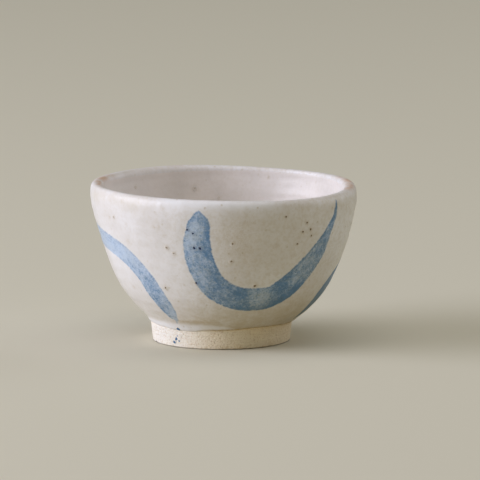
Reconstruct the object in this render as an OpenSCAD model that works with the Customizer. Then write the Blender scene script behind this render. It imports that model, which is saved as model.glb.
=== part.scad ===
// Guinomi sake cup: a thrown stoneware bowl on a turned foot ring, under its glaze coats,
// with brushed blue sweeps, splashes of the same blue on the foot and iron specks.
// Millimetres, +Z up. The origin is the centre of the foot's resting face, and -Y is the front.

/* [Bowl] */
// Outside diameter of the glazed bowl at its widest ring, just under the lip
rim_d = 73; // [66:0.5:82]
// Height of the lip's crest above the resting face
cup_h = 43; // [38:0.5:50]
// Thickness of the glazed wall at the lip
lip_t = 3.4; // [2.8:0.1:4.4]
// Height of the lip's rounding, from the widest ring to the crest
lip_h = 3.4; // [2.4:0.1:4.4]
// Clay between the top of the foot ring and the inside floor
floor_t = 4; // [3:0.1:6]

/* [Foot] */
// Outside diameter of the foot ring where it meets the bowl
foot_d = 38.6; // [35:0.2:42]
// Outside diameter of the foot ring at its base
foot_base_d = 37.6; // [34.6:0.2:40]
// Height of the foot ring
foot_h = 5.3; // [4:0.1:7]
// Width of the foot ring at its base
foot_wall = 4.4; // [3.4:0.1:6]
// Rounding of the foot ring's two bottom edges
foot_edge_r = 0.8; // [0.4:0.1:1.2]
// How far the foot's well narrows towards its ceiling, each side
well_lean = 0.9; // [0:0.1:1.6]
// Radius of the low turned point at the middle of the well
turned_point_r = 5; // [3:0.1:8]
// Drop of the low turned point below the well's ceiling
turned_point_h = 0.8; // [0.4:0.1:1.4]

/* [Glaze] */
// Thickness of the glaze coats
glaze_t = 0.5; // [0.35:0.05:0.7]
// Thickness of the outside coat where it thins out at the foot
glaze_thin_t = 0.2; // [0.1:0.05:0.3]
// Height of the glaze line above the foot ring, at the front
glaze_line_h = 0.5; // [0.3:0.1:1.6]
// How much the glaze line climbs from the axis to the foot ring's right side
glaze_line_climb = 0.7; // [0:0.1:0.8]

/* [Brushwork] */
// Width of the brush at its fullest
brush_w = 7.6; // [4:0.2:8.4]
// Diameter of the largest blue splash on the foot
splash_d = 1.1; // [0.7:0.1:1.5]
// How deep the splashes have soaked into the foot's clay
splash_depth = 0.4; // [0.2:0.05:0.6]
// Diameter of the largest iron speck
speck_d = 0.9; // [0.6:0.05:1]

/* [Hidden] */
$fn = 240;
// Sides of a speck or a splash, which are small flat-sided pins let into the surface
dot_sides = 10;

// Straight steps along each stretch of the bowl's outline
corner_steps = 7;
wall_steps = 14;
lip_steps = 6;
inside_steps = 16;
edge_steps = 4;
// Cross-sections along each brushed sweep
sweep_steps = 32;

// Clay outline, from the foot's corner up the outside, over the lip and down to the floor.
// The knee is where the full lower wall turns into the straighter upper wall.
knee_out_share = 0.415;
knee_up_share = 0.21;
// Directions of travel along the outline, in degrees from straight outwards
corner_turn = 43;
knee_turn = 51;
shoulder_turn = 90;
crest_turn = 180;
inside_turn = 262;
// Crest's place across the clay lip, from its outside
crest_share = 0.44;
// Lengths of the curve handles, as shares of each stretch's own chord
corner_handle_shares = [0.285, 0.5];
wall_handle_shares = [0.284, 0.114];
lip_handle_shares = [0.35, 0.27];
lip_inside_handle_shares = [0.3, 0.36];
inside_handle_shares = [0.42, 0.51];
// Part of the foot corner's stretch over which the outside coat comes to full thickness
glaze_taper_share = 0.6;

clay_lip_t = lip_t - 2 * glaze_t;
clay_rim_r = rim_d / 2 - glaze_t;
foot_corner = [foot_d / 2, foot_h];
shoulder = [clay_rim_r, cup_h - lip_h];
knee = [
    foot_corner[0] + knee_out_share * (shoulder[0] - foot_corner[0]),
    foot_corner[1] + knee_up_share * (shoulder[1] - foot_corner[1])
];
crest = [clay_rim_r - crest_share * clay_lip_t, cup_h - glaze_t];
inside_shoulder = [clay_rim_r - clay_lip_t, cup_h - lip_h];
floor_centre = [0, foot_h + floor_t];

// Brushed sweeps. Each row is a place on the sweep's middle line: azimuth in degrees from the
// front, positive to the right; share of the way up the wall; share of the brush's full width.
front_sweep_shares = [
    [-10.9, 0.98, 0.03], [-10.8, 0.945, 0.48], [-11.2, 0.895, 0.76], [-11.9, 0.82, 0.92],
    [-12.2, 0.735, 0.99], [-11.2, 0.635, 1.00], [-8.6, 0.535, 1.00], [-3.6, 0.44, 1.02],
    [5.0, 0.355, 1.05], [15.3, 0.323, 1.06], [26.0, 0.35, 1.03], [35.8, 0.43, 0.97],
    [44.0, 0.54, 0.92], [49.6, 0.66, 0.78], [53.0, 0.79, 0.46], [55.7, 0.905, 0.19],
    [57.5, 0.98, 0.03]
];
left_sweep_shares = [
    [-34.0, 0.105, 0.03], [-35.2, 0.14, 0.24], [-37.8, 0.22, 0.60], [-41.0, 0.35, 0.76],
    [-45.9, 0.483, 0.80], [-52.7, 0.594, 0.78], [-62.0, 0.665, 0.74], [-75.3, 0.695, 0.72],
    [-90.0, 0.697, 0.72], [-106.0, 0.69, 0.80], [-122.0, 0.655, 0.90], [-136.0, 0.57, 0.96],
    [-145.0, 0.45, 0.92], [-149.5, 0.35, 0.66], [-151.0, 0.30, 0.03]
];
right_sweep_shares = [
    [62.0, 0.072, 0.03], [66.5, 0.12, 0.30], [70.5, 0.20, 0.60], [73.0, 0.29, 0.76],
    [78.5, 0.375, 0.85], [87.0, 0.46, 0.92], [97.0, 0.55, 0.97], [108.0, 0.65, 0.97],
    [119.0, 0.755, 0.86], [130.0, 0.84, 0.64], [138.5, 0.885, 0.34], [143.0, 0.90, 0.03]
];
// Half the depth of the sweeps' cutter, as a share of the wall's radius
cutter_reach_share = 0.12;

// Half the length of a speck's pin, enough to pass the coat where the wall leans most
speck_reach = 3 * glaze_t;
// Splashes on the foot's side: azimuth, share of the foot's height, share of splash_d
splash_shares = [
    [-37.5, 0.88, 1.00], [-40.8, 0.445, 0.75], [-43.2, 0.23, 0.80], [-37.8, 0.34, 0.50],
    [-39.6, 0.66, 0.40]
];
// Iron specks in the outside coat, the first five within the front sweep: azimuth, share of the
// way up the wall, share of speck_d
speck_shares = [
    [-13.3, 0.715, 0.90], [-10.8, 0.714, 0.95], [-16.0, 0.843, 0.70], [-13.5, 0.821, 0.70],
    [-14.1, 0.470, 0.80],
    [27.5, 0.925, 0.75], [38.6, 0.870, 0.90], [41.3, 0.820, 0.95], [37.1, 0.808, 0.80],
    [42.4, 0.775, 0.75], [35.1, 0.725, 0.80], [4.1, 0.750, 1.00], [3.6, 0.625, 0.95],
    [15.9, 0.440, 0.95], [-23.5, 0.670, 0.75], [-26.5, 0.713, 0.90], [-31.3, 0.411, 0.85],
    [-56.2, 0.872, 0.65], [79.8, 0.788, 0.85], [-96.0, 0.450, 0.80], [-118.0, 0.380, 0.95],
    [-131.0, 0.880, 0.75], [-164.0, 0.700, 1.00], [-171.0, 0.520, 0.80], [176.0, 0.840, 0.90],
    [168.0, 0.350, 0.85], [159.0, 0.640, 0.70], [122.0, 0.420, 0.95], [109.0, 0.890, 0.75],
    [147.0, 0.560, 0.80], [101.0, 0.250, 0.70]
];

function heading(turn) = [cos(turn), sin(turn)];

// A stretch of outline between two places, leaving and arriving on given headings
function stretch(a, b, turn_a, turn_b, shares) =
    let (chord = norm(b - a))
    [a, a + chord * shares[0] * heading(turn_a), b - chord * shares[1] * heading(turn_b), b];

function bezier(p, t) =
    pow(1 - t, 3) * p[0] + 3 * pow(1 - t, 2) * t * p[1] + 3 * (1 - t) * t * t * p[2] + pow(t, 3) * p[3];

function bezier_way(p, t) =
    pow(1 - t, 2) * (p[1] - p[0]) + 2 * (1 - t) * t * (p[2] - p[1]) + t * t * (p[3] - p[2]);

// A place on the clay and the unit direction out of its glazed side
function surface_at(p, t) =
    let (way = bezier_way(p, t))
    [bezier(p, t), [way[1], -way[0]] / norm(way)];

function samples(p, steps, first = 0) = [for (k = [first:steps]) surface_at(p, k / steps)];

corner_run = samples(stretch(foot_corner, knee, corner_turn, knee_turn, corner_handle_shares), corner_steps);
wall_run = samples(stretch(knee, shoulder, knee_turn, shoulder_turn, wall_handle_shares), wall_steps, 1);
lip_up_run = samples(
    stretch(shoulder, crest, shoulder_turn, crest_turn, lip_handle_shares), lip_steps
);
lip_down_run = samples(
    stretch(crest, inside_shoulder, crest_turn, inside_turn, lip_inside_handle_shares), lip_steps
);
well_run = samples(
    stretch(inside_shoulder, floor_centre, inside_turn, crest_turn, inside_handle_shares), inside_steps
);

function part_of(list, from, to) = [for (k = [from:to]) list[k]];

// The coats part company halfway up each side of the lip, in steps
lip_half = lip_steps / 2;
outside_run = concat(corner_run, wall_run, part_of(lip_up_run, 1, lip_half));
lip_run = concat(part_of(lip_up_run, lip_half, lip_steps), part_of(lip_down_run, 1, lip_half));
inside_run = concat(part_of(lip_down_run, lip_half, lip_steps), part_of(well_run, 1, inside_steps));

// The outside coat is thin at the foot's corner and full further up
function outside_t(k) =
    let (up = min(1, k / (corner_steps * glaze_taper_share)))
    glaze_thin_t + (glaze_t - glaze_thin_t) * up * up * (3 - 2 * up);

outside_ts = [for (k = [0:len(outside_run) - 1]) outside_t(k)];
lip_ts = [for (s = lip_run) glaze_t];
inside_ts = [for (s = inside_run) glaze_t];

function clay_side(run) = [for (s = run) s[0]];
function glazed_side(run, ts) = [for (k = [0:len(run) - 1]) run[k][0] + ts[k] * run[k][1]];
function reversed(list) = [for (k = [len(list) - 1:-1:0]) list[k]];

// The outside of the glazed wall as lookup tables by the way along it
skin = glazed_side(outside_run, outside_ts);
function way_to(k) = k == 0 ? 0 : way_to(k - 1) + norm(skin[k] - skin[k - 1]);
wall_way = way_to(len(skin) - 1);
radius_by_way = [for (k = [0:len(skin) - 1]) [way_to(k), skin[k][0]]];
height_by_way = [for (k = [0:len(skin) - 1]) [way_to(k), skin[k][1]]];
function skin_r(way) = lookup(way, radius_by_way);
function skin_z(way) = lookup(way, height_by_way);

// Azimuths are measured from the front, -Y, and grow to the right, +X
function round_axis(azimuth, r, z) = [r * sin(azimuth), -r * cos(azimuth), z];

// A smooth line through the rows of a table, at a place counted in rows
function between_rows(rows, place) =
    let (
        last = len(rows) - 1,
        k = min(floor(place), last - 1),
        t = place - k,
        a = rows[max(k - 1, 0)],
        b = rows[k],
        c = rows[k + 1],
        d = rows[min(k + 2, last)]
    )
    0.5 * (2 * b + (c - a) * t + (2 * a - 5 * b + 4 * c - d) * t * t + (3 * b - a - 3 * c + d) * t * t * t);

// Middle line of a sweep in millimetres: azimuth, way up the wall, half width
function sweep_line(rows) = [
    for (k = [0:sweep_steps])
        let (row = between_rows(rows, k / sweep_steps * (len(rows) - 1)))
        [row[0], row[1] * wall_way, row[2] * brush_w / 2]
];

function degrees_of(length, r) = length / r * 180 / PI;
function length_of(degrees, r) = degrees * PI / 180 * r;

// Direction across a sweep at one of its places, as [around, up] on the wall's own surface
function across(line, k) =
    let (
        a = line[max(k - 1, 0)],
        b = line[min(k + 1, len(line) - 1)],
        way = [length_of(b[0] - a[0], skin_r(line[k][1])), b[1] - a[1]]
    )
    [-way[1], way[0]] / norm(way);

// Four corners of the cutter at one cross-section: left and right of the line, in and out
function cutter_section(line, k) =
    let (place = line[k], side = across(line, k) * place[2])
    [
        for (corner = [[1, -1], [-1, -1], [-1, 1], [1, 1]])
            let (
                way = place[1] + corner[0] * side[1],
                r = skin_r(way),
                azimuth = place[0] + corner[0] * degrees_of(side[0], r)
            )
            round_axis(azimuth, r * (1 + corner[1] * cutter_reach_share), skin_z(way))
    ];

// A radial prism through the wall in the outline of one sweep
module sweep_cutter(rows) {
    line = sweep_line(rows);
    last = len(line) - 1;
    points = [for (k = [0:last]) each cutter_section(line, k)];
    faces = concat(
        [[0, 2, 1], [0, 3, 2]],
        [
            for (k = [0:last - 1], side = [0:3])
                let (a = 4 * k + side, b = 4 * k + (side + 1) % 4)
                each [[a, b + 4, a + 4], [a, b, b + 4]]
        ],
        [[4 * last, 4 * last + 1, 4 * last + 2], [4 * last, 4 * last + 2, 4 * last + 3]]
    );
    polyhedron(points, faces);
}

// A coat of glaze over one run of the clay
module coat(run, ts) {
    rotate_extrude() polygon(concat(glazed_side(run, ts), reversed(clay_side(run))));
}

// Everything under the glaze line, a plane that climbs to the right
module below_glaze_line() {
    block = rim_d + cup_h;
    translate([0, 0, foot_h + glaze_line_h])
        rotate([0, -atan(glaze_line_climb / foot_corner[0]), 0])
            translate([-block, -block, -2 * block]) cube(2 * block);
}

// A pin that points straight out at an azimuth and reaches as far in as out
module dot(azimuth, r, z, d, reach) {
    translate(round_axis(azimuth, r, z))
        rotate([90, 0, azimuth]) cylinder(h = 2 * reach, d = d, center = true, $fn = dot_sides);
}

module speck_dots() {
    for (speck = speck_shares) {
        way = speck[1] * wall_way;
        dot(speck[0], skin_r(way), skin_z(way), speck[2] * speck_d, speck_reach);
    }
}

// The outside coat, whole, before the brushwork and the specks are let into it
module whole_outer_coat() {
    difference() {
        coat(outside_run, outside_ts);
        below_glaze_line();
    }
}

// Outline of the foot ring, from its top outside edge down, under and up the well
foot_base_r = foot_base_d / 2;
well_base_r = foot_base_r - foot_wall;
function foot_edge(centre_r, from) = [
    for (k = [0:edge_steps])
        [centre_r, foot_edge_r] + foot_edge_r * heading(from - 90 * k / edge_steps)
];
foot_outline = concat(
    [foot_corner],
    foot_edge(foot_base_r - foot_edge_r, 0),
    foot_edge(well_base_r + foot_edge_r, -90),
    [[well_base_r - well_lean, foot_h]]
);

module whole_foot_ring() {
    rotate_extrude() polygon(foot_outline);
}

module splash_dots() {
    for (splash = splash_shares) {
        z = splash[1] * foot_h;
        r = lookup(z, [[foot_edge_r, foot_base_r], [foot_h, foot_corner[0]]]);
        dot(splash[0], r, z, splash[2] * splash_d, splash_depth);
    }
}

module clay_bowl() {
    color([0.87, 0.80, 0.70])
        rotate_extrude()
            polygon(concat(
                clay_side(outside_run),
                clay_side(part_of(lip_run, 1, len(lip_run) - 1)),
                clay_side(part_of(inside_run, 1, len(inside_run) - 1)),
                [[0, foot_h - turned_point_h], [turned_point_r, foot_h]]
            ));
}

module foot_ring() {
    color([0.89, 0.82, 0.71])
        difference() {
            whole_foot_ring();
            splash_dots();
        }
}

module outer_glaze() {
    color([0.86, 0.84, 0.80])
        difference() {
            whole_outer_coat();
            sweep_cutter(front_sweep_shares);
            sweep_cutter(left_sweep_shares);
            sweep_cutter(right_sweep_shares);
            speck_dots();
        }
}

module rim_glaze() {
    color([0.86, 0.76, 0.70]) coat(lip_run, lip_ts);
}

module inner_glaze() {
    color([0.87, 0.84, 0.81]) coat(inside_run, inside_ts);
}

// One brushed sweep: the glaze that the blue has tinted, through its whole thickness
module sweep(rows) {
    difference() {
        intersection() {
            whole_outer_coat();
            sweep_cutter(rows);
        }
        speck_dots();
    }
}

module front_sweep() {
    color([0.43, 0.53, 0.66]) sweep(front_sweep_shares);
}

module left_sweep() {
    color([0.58, 0.67, 0.80]) sweep(left_sweep_shares);
}

module right_sweep() {
    color([0.40, 0.49, 0.62]) sweep(right_sweep_shares);
}

module foot_splashes() {
    color([0.25, 0.36, 0.52])
        intersection() {
            whole_foot_ring();
            splash_dots();
        }
}

module iron_specks() {
    color([0.36, 0.27, 0.16])
        intersection() {
            whole_outer_coat();
            speck_dots();
        }
}

clay_bowl();
foot_ring();
outer_glaze();
rim_glaze();
inner_glaze();
front_sweep();
left_sweep();
right_sweep();
foot_splashes();
iron_specks();
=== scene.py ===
"""Looks of a guinomi sake cup: a thrown stoneware bowl under milky glaze, with brushed blue sweeps.

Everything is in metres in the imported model's frame: +Z up, the origin at the centre of the foot's
resting face, -Y the front and +X to the right. Azimuths are measured from the front and grow to the
right. A place on the glaze is an azimuth and a way, which is the distance along the outline from the
foot's corner up the outside, over the lip and down to the middle of the floor.
"""
import logging
import math
from dataclasses import dataclass, field, replace
from enum import Enum
from typing import Any, Callable, Sequence

import bpy
import numpy as np
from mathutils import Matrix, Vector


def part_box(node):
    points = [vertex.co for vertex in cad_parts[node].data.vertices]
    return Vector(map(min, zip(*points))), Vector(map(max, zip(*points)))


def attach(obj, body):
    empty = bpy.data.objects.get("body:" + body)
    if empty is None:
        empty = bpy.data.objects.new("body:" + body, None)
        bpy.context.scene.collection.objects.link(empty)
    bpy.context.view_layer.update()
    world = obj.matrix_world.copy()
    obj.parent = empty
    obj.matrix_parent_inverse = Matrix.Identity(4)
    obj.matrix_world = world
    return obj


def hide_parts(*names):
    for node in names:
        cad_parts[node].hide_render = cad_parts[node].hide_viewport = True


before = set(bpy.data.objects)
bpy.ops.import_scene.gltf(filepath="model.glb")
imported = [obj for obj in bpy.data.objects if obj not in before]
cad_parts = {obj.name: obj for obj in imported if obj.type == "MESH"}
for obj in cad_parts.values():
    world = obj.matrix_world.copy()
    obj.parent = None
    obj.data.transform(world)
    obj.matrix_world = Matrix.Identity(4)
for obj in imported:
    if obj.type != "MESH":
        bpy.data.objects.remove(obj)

log = logging.getLogger("guinomi")

Array = np.ndarray
Line = tuple[Array, ...]
Thing = bpy.types.Object
Material = bpy.types.Material
Node = bpy.types.Node
Socket = bpy.types.NodeSocket
Colour = tuple[float, float, float, float]
Place = Callable[[Array, Array], Array]
Pair = tuple[float, float]
Rows = tuple[tuple[float, ...], ...]

MM = 0.001
TURN = 2.0 * math.pi
# The size of the photograph's frame and the scale at which it shows the cup
FRAME_PX = 480
PX_PER_MM = 3.65


def screen(red: float, green: float, blue: float) -> Colour:
    """Linear colour of a colour that a screen shows, given in parts of 255.

    Args:
        red: Red part, 0 to 255.
        green: Green part, 0 to 255.
        blue: Blue part, 0 to 255.

    Returns:
        The linear colour with full opacity.
    """
    parts = [c / 255.0 for c in (red, green, blue)]
    linear = [c / 12.92 if c <= 0.04045 else ((c + 0.055) / 1.055) ** 2.4 for c in parts]
    return (linear[0], linear[1], linear[2], 1.0)


def smooth(value: Array, low: float, high: float) -> Array:
    """Smooth step: 0 at low, 1 at high, and flat at both ends.

    Args:
        value: Values to ease.
        low: Value that gives 0.
        high: Value that gives 1.

    Returns:
        Eased shares from 0 to 1, as 3 t squared less 2 t cubed.
    """
    t = np.clip((value - low) / (high - low), 0.0, 1.0)
    return t * t * (3.0 - 2.0 * t)


def round_axis(azimuth: Array, r: Array, z: Array) -> Array:
    """Points at an azimuth from the front, a radius and a height."""
    return np.stack(np.broadcast_arrays(r * np.sin(azimuth), -r * np.cos(azimuth), z), -1)


def bell(value: Array, middle: Array | float, width: Array | float) -> Array:
    """Bell curve: 1 at its middle, falling to 1/e at a width to either side."""
    return np.exp(-(((value - middle) / width) ** 2))


def facing(azimuth: Array, degrees: float, start: float, full: float) -> Array:
    """Share of facing a direction round the cup, eased between two cosines of the turn to it."""
    return smooth(np.cos(azimuth - math.radians(degrees)), start, full)


def near_front(azimuth: Array) -> Array:
    """The same azimuths, brought to within half a turn of the front."""
    return (azimuth + math.pi) % TURN - math.pi


def all_round(columns: int) -> Array:
    """A row of azimuths once round the cup, whose first and last meet at the back."""
    return np.linspace(-math.pi, math.pi, columns + 1)[None, :]


def way_along(spots: Array) -> Array:
    """Distance travelled along a line of places."""
    return np.concatenate([[0.0], np.cumsum(np.linalg.norm(np.diff(spots, axis=0), axis=1))])


def end_to_end(parts: Sequence[Array]) -> Array:
    """Arrays one after another, where each starts with the last row of the one before."""
    return np.concatenate([part[:-1] for part in parts[:-1]] + [parts[-1]])


class Slot(Enum):
    """Names of the material slots that the pieces are logged under."""

    BARE_CLAY = "bare_clay"
    FOOT_CLAY = "foot_clay"
    OUTSIDE = "outer_glaze"
    RIM = "rim_glaze"
    INSIDE = "inner_glaze"
    FRONT_BLUE = "front_blue"
    LEFT_BLUE = "left_blue"
    RIGHT_BLUE = "right_blue"
    SPLASH_BLUE = "splash_blue"
    IRON = "iron"


# Sizes and outline


@dataclass(frozen=True)
class CupSizes:
    """Driving sizes of the cup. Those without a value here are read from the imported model."""

    rim_r: float
    cup_h: float
    foot_r: float
    foot_h: float
    floor_z: float
    well_z: float
    lip_t: float = 3.4 * MM
    lip_h: float = 3.4 * MM
    glaze_t: float = 0.5 * MM
    glaze_thin_t: float = 0.2 * MM
    foot_lean: float = 0.5 * MM
    foot_wall: float = 4.4 * MM
    foot_edge_r: float = 0.45 * MM
    well_lean: float = 0.9 * MM
    turned_point_r: float = 5.0 * MM
    fillet_reach: float = 1.3 * MM
    fillet_drop: float = 1.2 * MM
    fillet_film: float = 0.2 * MM

    @classmethod
    def from_frame(cls) -> "CupSizes":
        """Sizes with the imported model's own radii and heights.

        Returns:
            The sizes.
        """
        foot_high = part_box("foot_ring")[1]
        return cls(
            rim_r=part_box("outer_glaze")[1].y,
            cup_h=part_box("rim_glaze")[1].z,
            foot_r=foot_high.y,
            foot_h=foot_high.z,
            floor_z=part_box("inner_glaze")[0].z,
            well_z=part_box("clay_bowl")[0].z,
        )


@dataclass(frozen=True)
class OutlineShares:
    """How the outline turns: headings in degrees from straight outwards, handles as shares of a chord."""

    knee_out: float = 0.421
    knee_up: float = 0.218
    crest: float = 0.533
    corner_turn: float = 50.0
    knee_turn: float = 51.0
    shoulder_turn: float = 90.0
    crest_turn: float = 180.0
    inside_turn: float = 262.0
    corner_handles: Pair = (0.396, 0.5)
    wall_handles: Pair = (0.284, 0.114)
    lip_handles: Pair = (0.5, 0.38)
    lip_inside_handles: Pair = (0.56, 0.59)
    inside_handles: Pair = (0.42, 0.51)
    fillet_turn: float = 84.0
    fillet_handles: Pair = (0.36, 0.36)
    glaze_taper: float = 0.6


def heading(degrees: float) -> Array:
    """Unit direction in (radius, height), turned by that many degrees from straight outwards."""
    return np.array([math.cos(math.radians(degrees)), math.sin(math.radians(degrees))])


def stretch(
    start: Array,
    end: Array,
    turns: Pair,
    handles: Pair,
    samples: int = 240,
) -> tuple[Array, Array]:
    """One smooth stretch of outline between two places.

    The stretch is a cubic Bezier curve. Its two inner points lie along the given headings from its ends,
    each at a share of the straight distance between them.

    Args:
        start: First place, as radius and height.
        end: Last place.
        turns: Headings at the first and the last place, in degrees.
        handles: Shares of the chord for the two inner points.
        samples: Number of places along the stretch.

    Returns:
        The places and the unit directions out of the clay, which lie a quarter turn right of the travel.
    """
    chord = float(np.linalg.norm(end - start))
    a = start + chord * handles[0] * heading(turns[0])
    b = end - chord * handles[1] * heading(turns[1])
    t = np.linspace(0.0, 1.0, samples)[:, None]
    s = 1.0 - t
    spots = s**3 * start + 3.0 * s**2 * t * a + 3.0 * s * t**2 * b + t**3 * end
    way = s**2 * (a - start) + 2.0 * s * t * (b - a) + t**2 * (end - b)
    way /= np.linalg.norm(way, axis=1, keepdims=True)
    return spots, np.stack([way[:, 1], -way[:, 0]], 1)


@dataclass(frozen=True)
class Wave:
    """A slow wave round the cup: how many crests it has, where one stands and how high it is.

    The crest's azimuth is in degrees and moves by the drift for each millimetre of the way.
    """

    crests: int
    azimuth: float
    height: float
    drift: float = 0.0

    def at(self, azimuth: Array, way: Array | float = 0.0) -> Array:
        """Height of the wave at azimuths in radians and ways in metres, as a cosine."""
        crest = math.radians(self.azimuth) + math.radians(self.drift) * way / MM
        return self.height * np.cos(self.crests * (azimuth - crest))


@dataclass(frozen=True)
class HandMarks:
    """What the potter's hands left of the round form: lean, uneven rim, dents and throwing rings.

    The lean is a table of heights and shifts to the right. The rim's waves begin at a share of the cup's
    height. A row of lump waves is a strength and two slanting waves, each with its pace around and up, in
    radians for each lump size, and its phase.
    """

    lean: Rows = (
        (4.9 * MM, -0.33 * MM), (7.7 * MM, 0.36 * MM), (12.0 * MM, 0.60 * MM), (20.0 * MM, 0.56 * MM),
        (28.0 * MM, 0.51 * MM), (36.0 * MM, 0.09 * MM),
    )
    rim_waves: tuple[Wave, ...] = (
        Wave(0, 0.0, 0.15 * MM), Wave(1, -59.2, 0.54 * MM), Wave(2, -48.2, 0.42 * MM),
        Wave(3, -9.6, 0.048 * MM), Wave(4, 15.1, 0.11 * MM),
    )
    rim_waves_from: float = 0.3
    dents: tuple[Wave, ...] = (
        Wave(2, 10.9, 0.31 * MM, 0.71), Wave(3, -5.1, 0.14 * MM, 2.35), Wave(7, 20.0, 0.02 * MM, 3.0)
    )
    corner_fade: float = 5.0 * MM
    lump_size: float = 4.5 * MM
    lump_h: float = 0.028 * MM
    lump_waves: tuple[tuple[float, tuple[float, float, float], tuple[float, float, float]], ...] = (
        (1.0, (3.1, 1.3, 0.5), (-1.7, 2.6, 1.9)), (0.6, (5.3, -3.7, 0.0), (3.3, 4.9, 0.8)),
    )
    ring_pitch: float = 3.3 * MM
    ring_h_outside: float = 0.017 * MM
    ring_h_lip: float = 0.0051 * MM
    ring_h_inside: float = 0.025 * MM
    ring_fade: float = 6.0 * MM
    ring_lip_fade: float = 4.0 * MM


class CupForm:
    """The bowl's surfaces as places of an azimuth and a way, with the marks of the hand on them."""

    def __init__(self, sizes: CupSizes, turns: OutlineShares, marks: HandMarks) -> None:
        """Works out the clay's outline, the glazed outline over it and where the coats part.

        Args:
            sizes: Driving sizes.
            turns: Headings and handles of the outline.
            marks: Marks of the hand.
        """
        self.sizes = sizes
        self.marks = marks
        self._lay_out(turns)

    def _lay_out(self, turns: OutlineShares) -> None:
        """Joins the stretches of the outline and measures the way along the glazed one.

        Args:
            turns: Headings and handles of the outline.
        """
        s = self.sizes
        clay_rim_r = s.rim_r - s.glaze_t
        clay_lip_t = s.lip_t - 2.0 * s.glaze_t
        corner = np.array([s.foot_r, s.foot_h])
        shoulder = np.array([clay_rim_r, s.cup_h - s.lip_h])
        knee = corner + np.array([turns.knee_out, turns.knee_up]) * (shoulder - corner)
        crest = np.array([clay_rim_r - turns.crest * clay_lip_t, s.cup_h - s.glaze_t])
        inside_shoulder = np.array([clay_rim_r - clay_lip_t, s.cup_h - s.lip_h])
        floor = np.array([0.0, s.floor_z])
        runs = [
            stretch(corner, knee, (turns.corner_turn, turns.knee_turn), turns.corner_handles),
            stretch(knee, shoulder, (turns.knee_turn, turns.shoulder_turn), turns.wall_handles),
            stretch(shoulder, crest, (turns.shoulder_turn, turns.crest_turn), turns.lip_handles),
            stretch(crest, inside_shoulder, (turns.crest_turn, turns.inside_turn), turns.lip_inside_handles),
            stretch(inside_shoulder, floor, (turns.inside_turn, turns.crest_turn), turns.inside_handles),
        ]
        count = len(runs[0][0])
        taper = smooth(np.linspace(0.0, 1.0, count), 0.0, turns.glaze_taper)
        thick = [s.glaze_thin_t + (s.glaze_t - s.glaze_thin_t) * taper]
        thick += [np.full(count, s.glaze_t)] * (len(runs) - 1)
        clay, out = end_to_end([run[0] for run in runs]), end_to_end([run[1] for run in runs])
        skin = clay + end_to_end(thick)[:, None] * out
        way = way_along(skin)
        half = count // 2
        self.wall_way = float(way[2 * (count - 1) + half])
        self.lip_end = float(way[3 * (count - 1) + half])
        self.floor_way = float(way[-1])
        self._clay = (way, clay, out)
        self._skin = self._with_fillet(turns, way, skin, out)

    def _with_fillet(self, turns: OutlineShares, way: Array, skin: Array, out: Array) -> Line:
        """Rounds the glazed line's start, where glaze has run into the corner above the foot.

        The first millimetres are replaced by a stretch that starts on the foot's side and joins the wall.

        Args:
            turns: Heading and handles of the new start.
            way: Way along the glazed line.
            skin: Its places.
            out: Directions out of it.

        Returns:
            The way, places and directions of the line with its new start, whose way begins below zero.
        """
        s = self.sizes
        keep = way > s.fillet_reach
        end_out = out[keep][0]
        start_z = s.foot_h - s.fillet_drop
        start = np.array([self.foot_side_r(start_z) + s.fillet_film, start_z])
        end_turn = math.degrees(math.atan2(end_out[0], -end_out[1]))
        spots, outs = stretch(start, skin[keep][0], (turns.fillet_turn, end_turn), turns.fillet_handles)
        length = way_along(spots)
        ways = way[keep][0] - length[-1] + length
        return tuple(end_to_end([a, b[keep]]) for a, b in ((ways, way), (spots, skin), (outs, out)))

    def foot_side_r(self, z: Array | float) -> Array | float:
        """Radius of the foot's side at a height, which leans out evenly from its base to its top."""
        s = self.sizes
        return s.foot_r - s.foot_lean * (1.0 - np.clip(z / s.foot_h, 0.0, 1.0))

    def skin_r(self, way: Array) -> Array:
        """Radius of the glazed surface at a way."""
        return np.interp(way, self._skin[0], self._skin[1][:, 0])

    def way_at_height(self, z: Array) -> Array:
        """Way up the outside at which the glazed surface has a height."""
        low = self._skin[0] < self.wall_way
        return np.interp(z, self._skin[1][low, 1], self._skin[0][low])

    def relief(self, azimuth: Array, way: Array) -> Array:
        """Height of the throwing rings and dents over the true outline.

        Rings are a sine wave of the way that moves on by one pitch in each turn, as a screw thread does.
        Dents are slow waves round the cup. Lumps are products of slanting waves, which fade out at the very
        back, where the azimuth starts again. All of them die out at the foot's corner, and dents and lumps
        at the floor's middle.

        Args:
            azimuth: Azimuths in radians.
            way: Ways in metres.

        Returns:
            Heights in metres, outwards.
        """
        m = self.marks
        ring_heights = (
            (0.0, 0.0), (m.ring_fade, m.ring_h_outside), (self.wall_way - m.ring_lip_fade, m.ring_h_outside),
            (self.wall_way, m.ring_h_lip), (self.lip_end, 0.0), (self.lip_end + m.ring_fade, m.ring_h_inside),
        )
        knots, heights = np.array(ring_heights).T
        rings = np.sin(TURN * way / m.ring_pitch - azimuth + 0.7 * np.sin(2.0 * azimuth + 1.0))
        part = smooth(way, 0.0, m.corner_fade) * self.skin_r(way) / self.sizes.rim_r
        wrapped = near_front(azimuth)
        around, up = wrapped * self.skin_r(way) / m.lump_size, way / m.lump_size
        lumps = sum(
            strength * np.sin(a[0] * around + a[1] * up + a[2]) * np.sin(b[0] * around + b[1] * up + b[2])
            for strength, a, b in m.lump_waves
        )
        turn = 1.0 - (wrapped / math.pi) ** 8
        slow = part * (sum(w.at(azimuth, way) for w in m.dents) + m.lump_h * lumps * turn)
        return np.interp(way, knots, heights) * rings + slow

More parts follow.
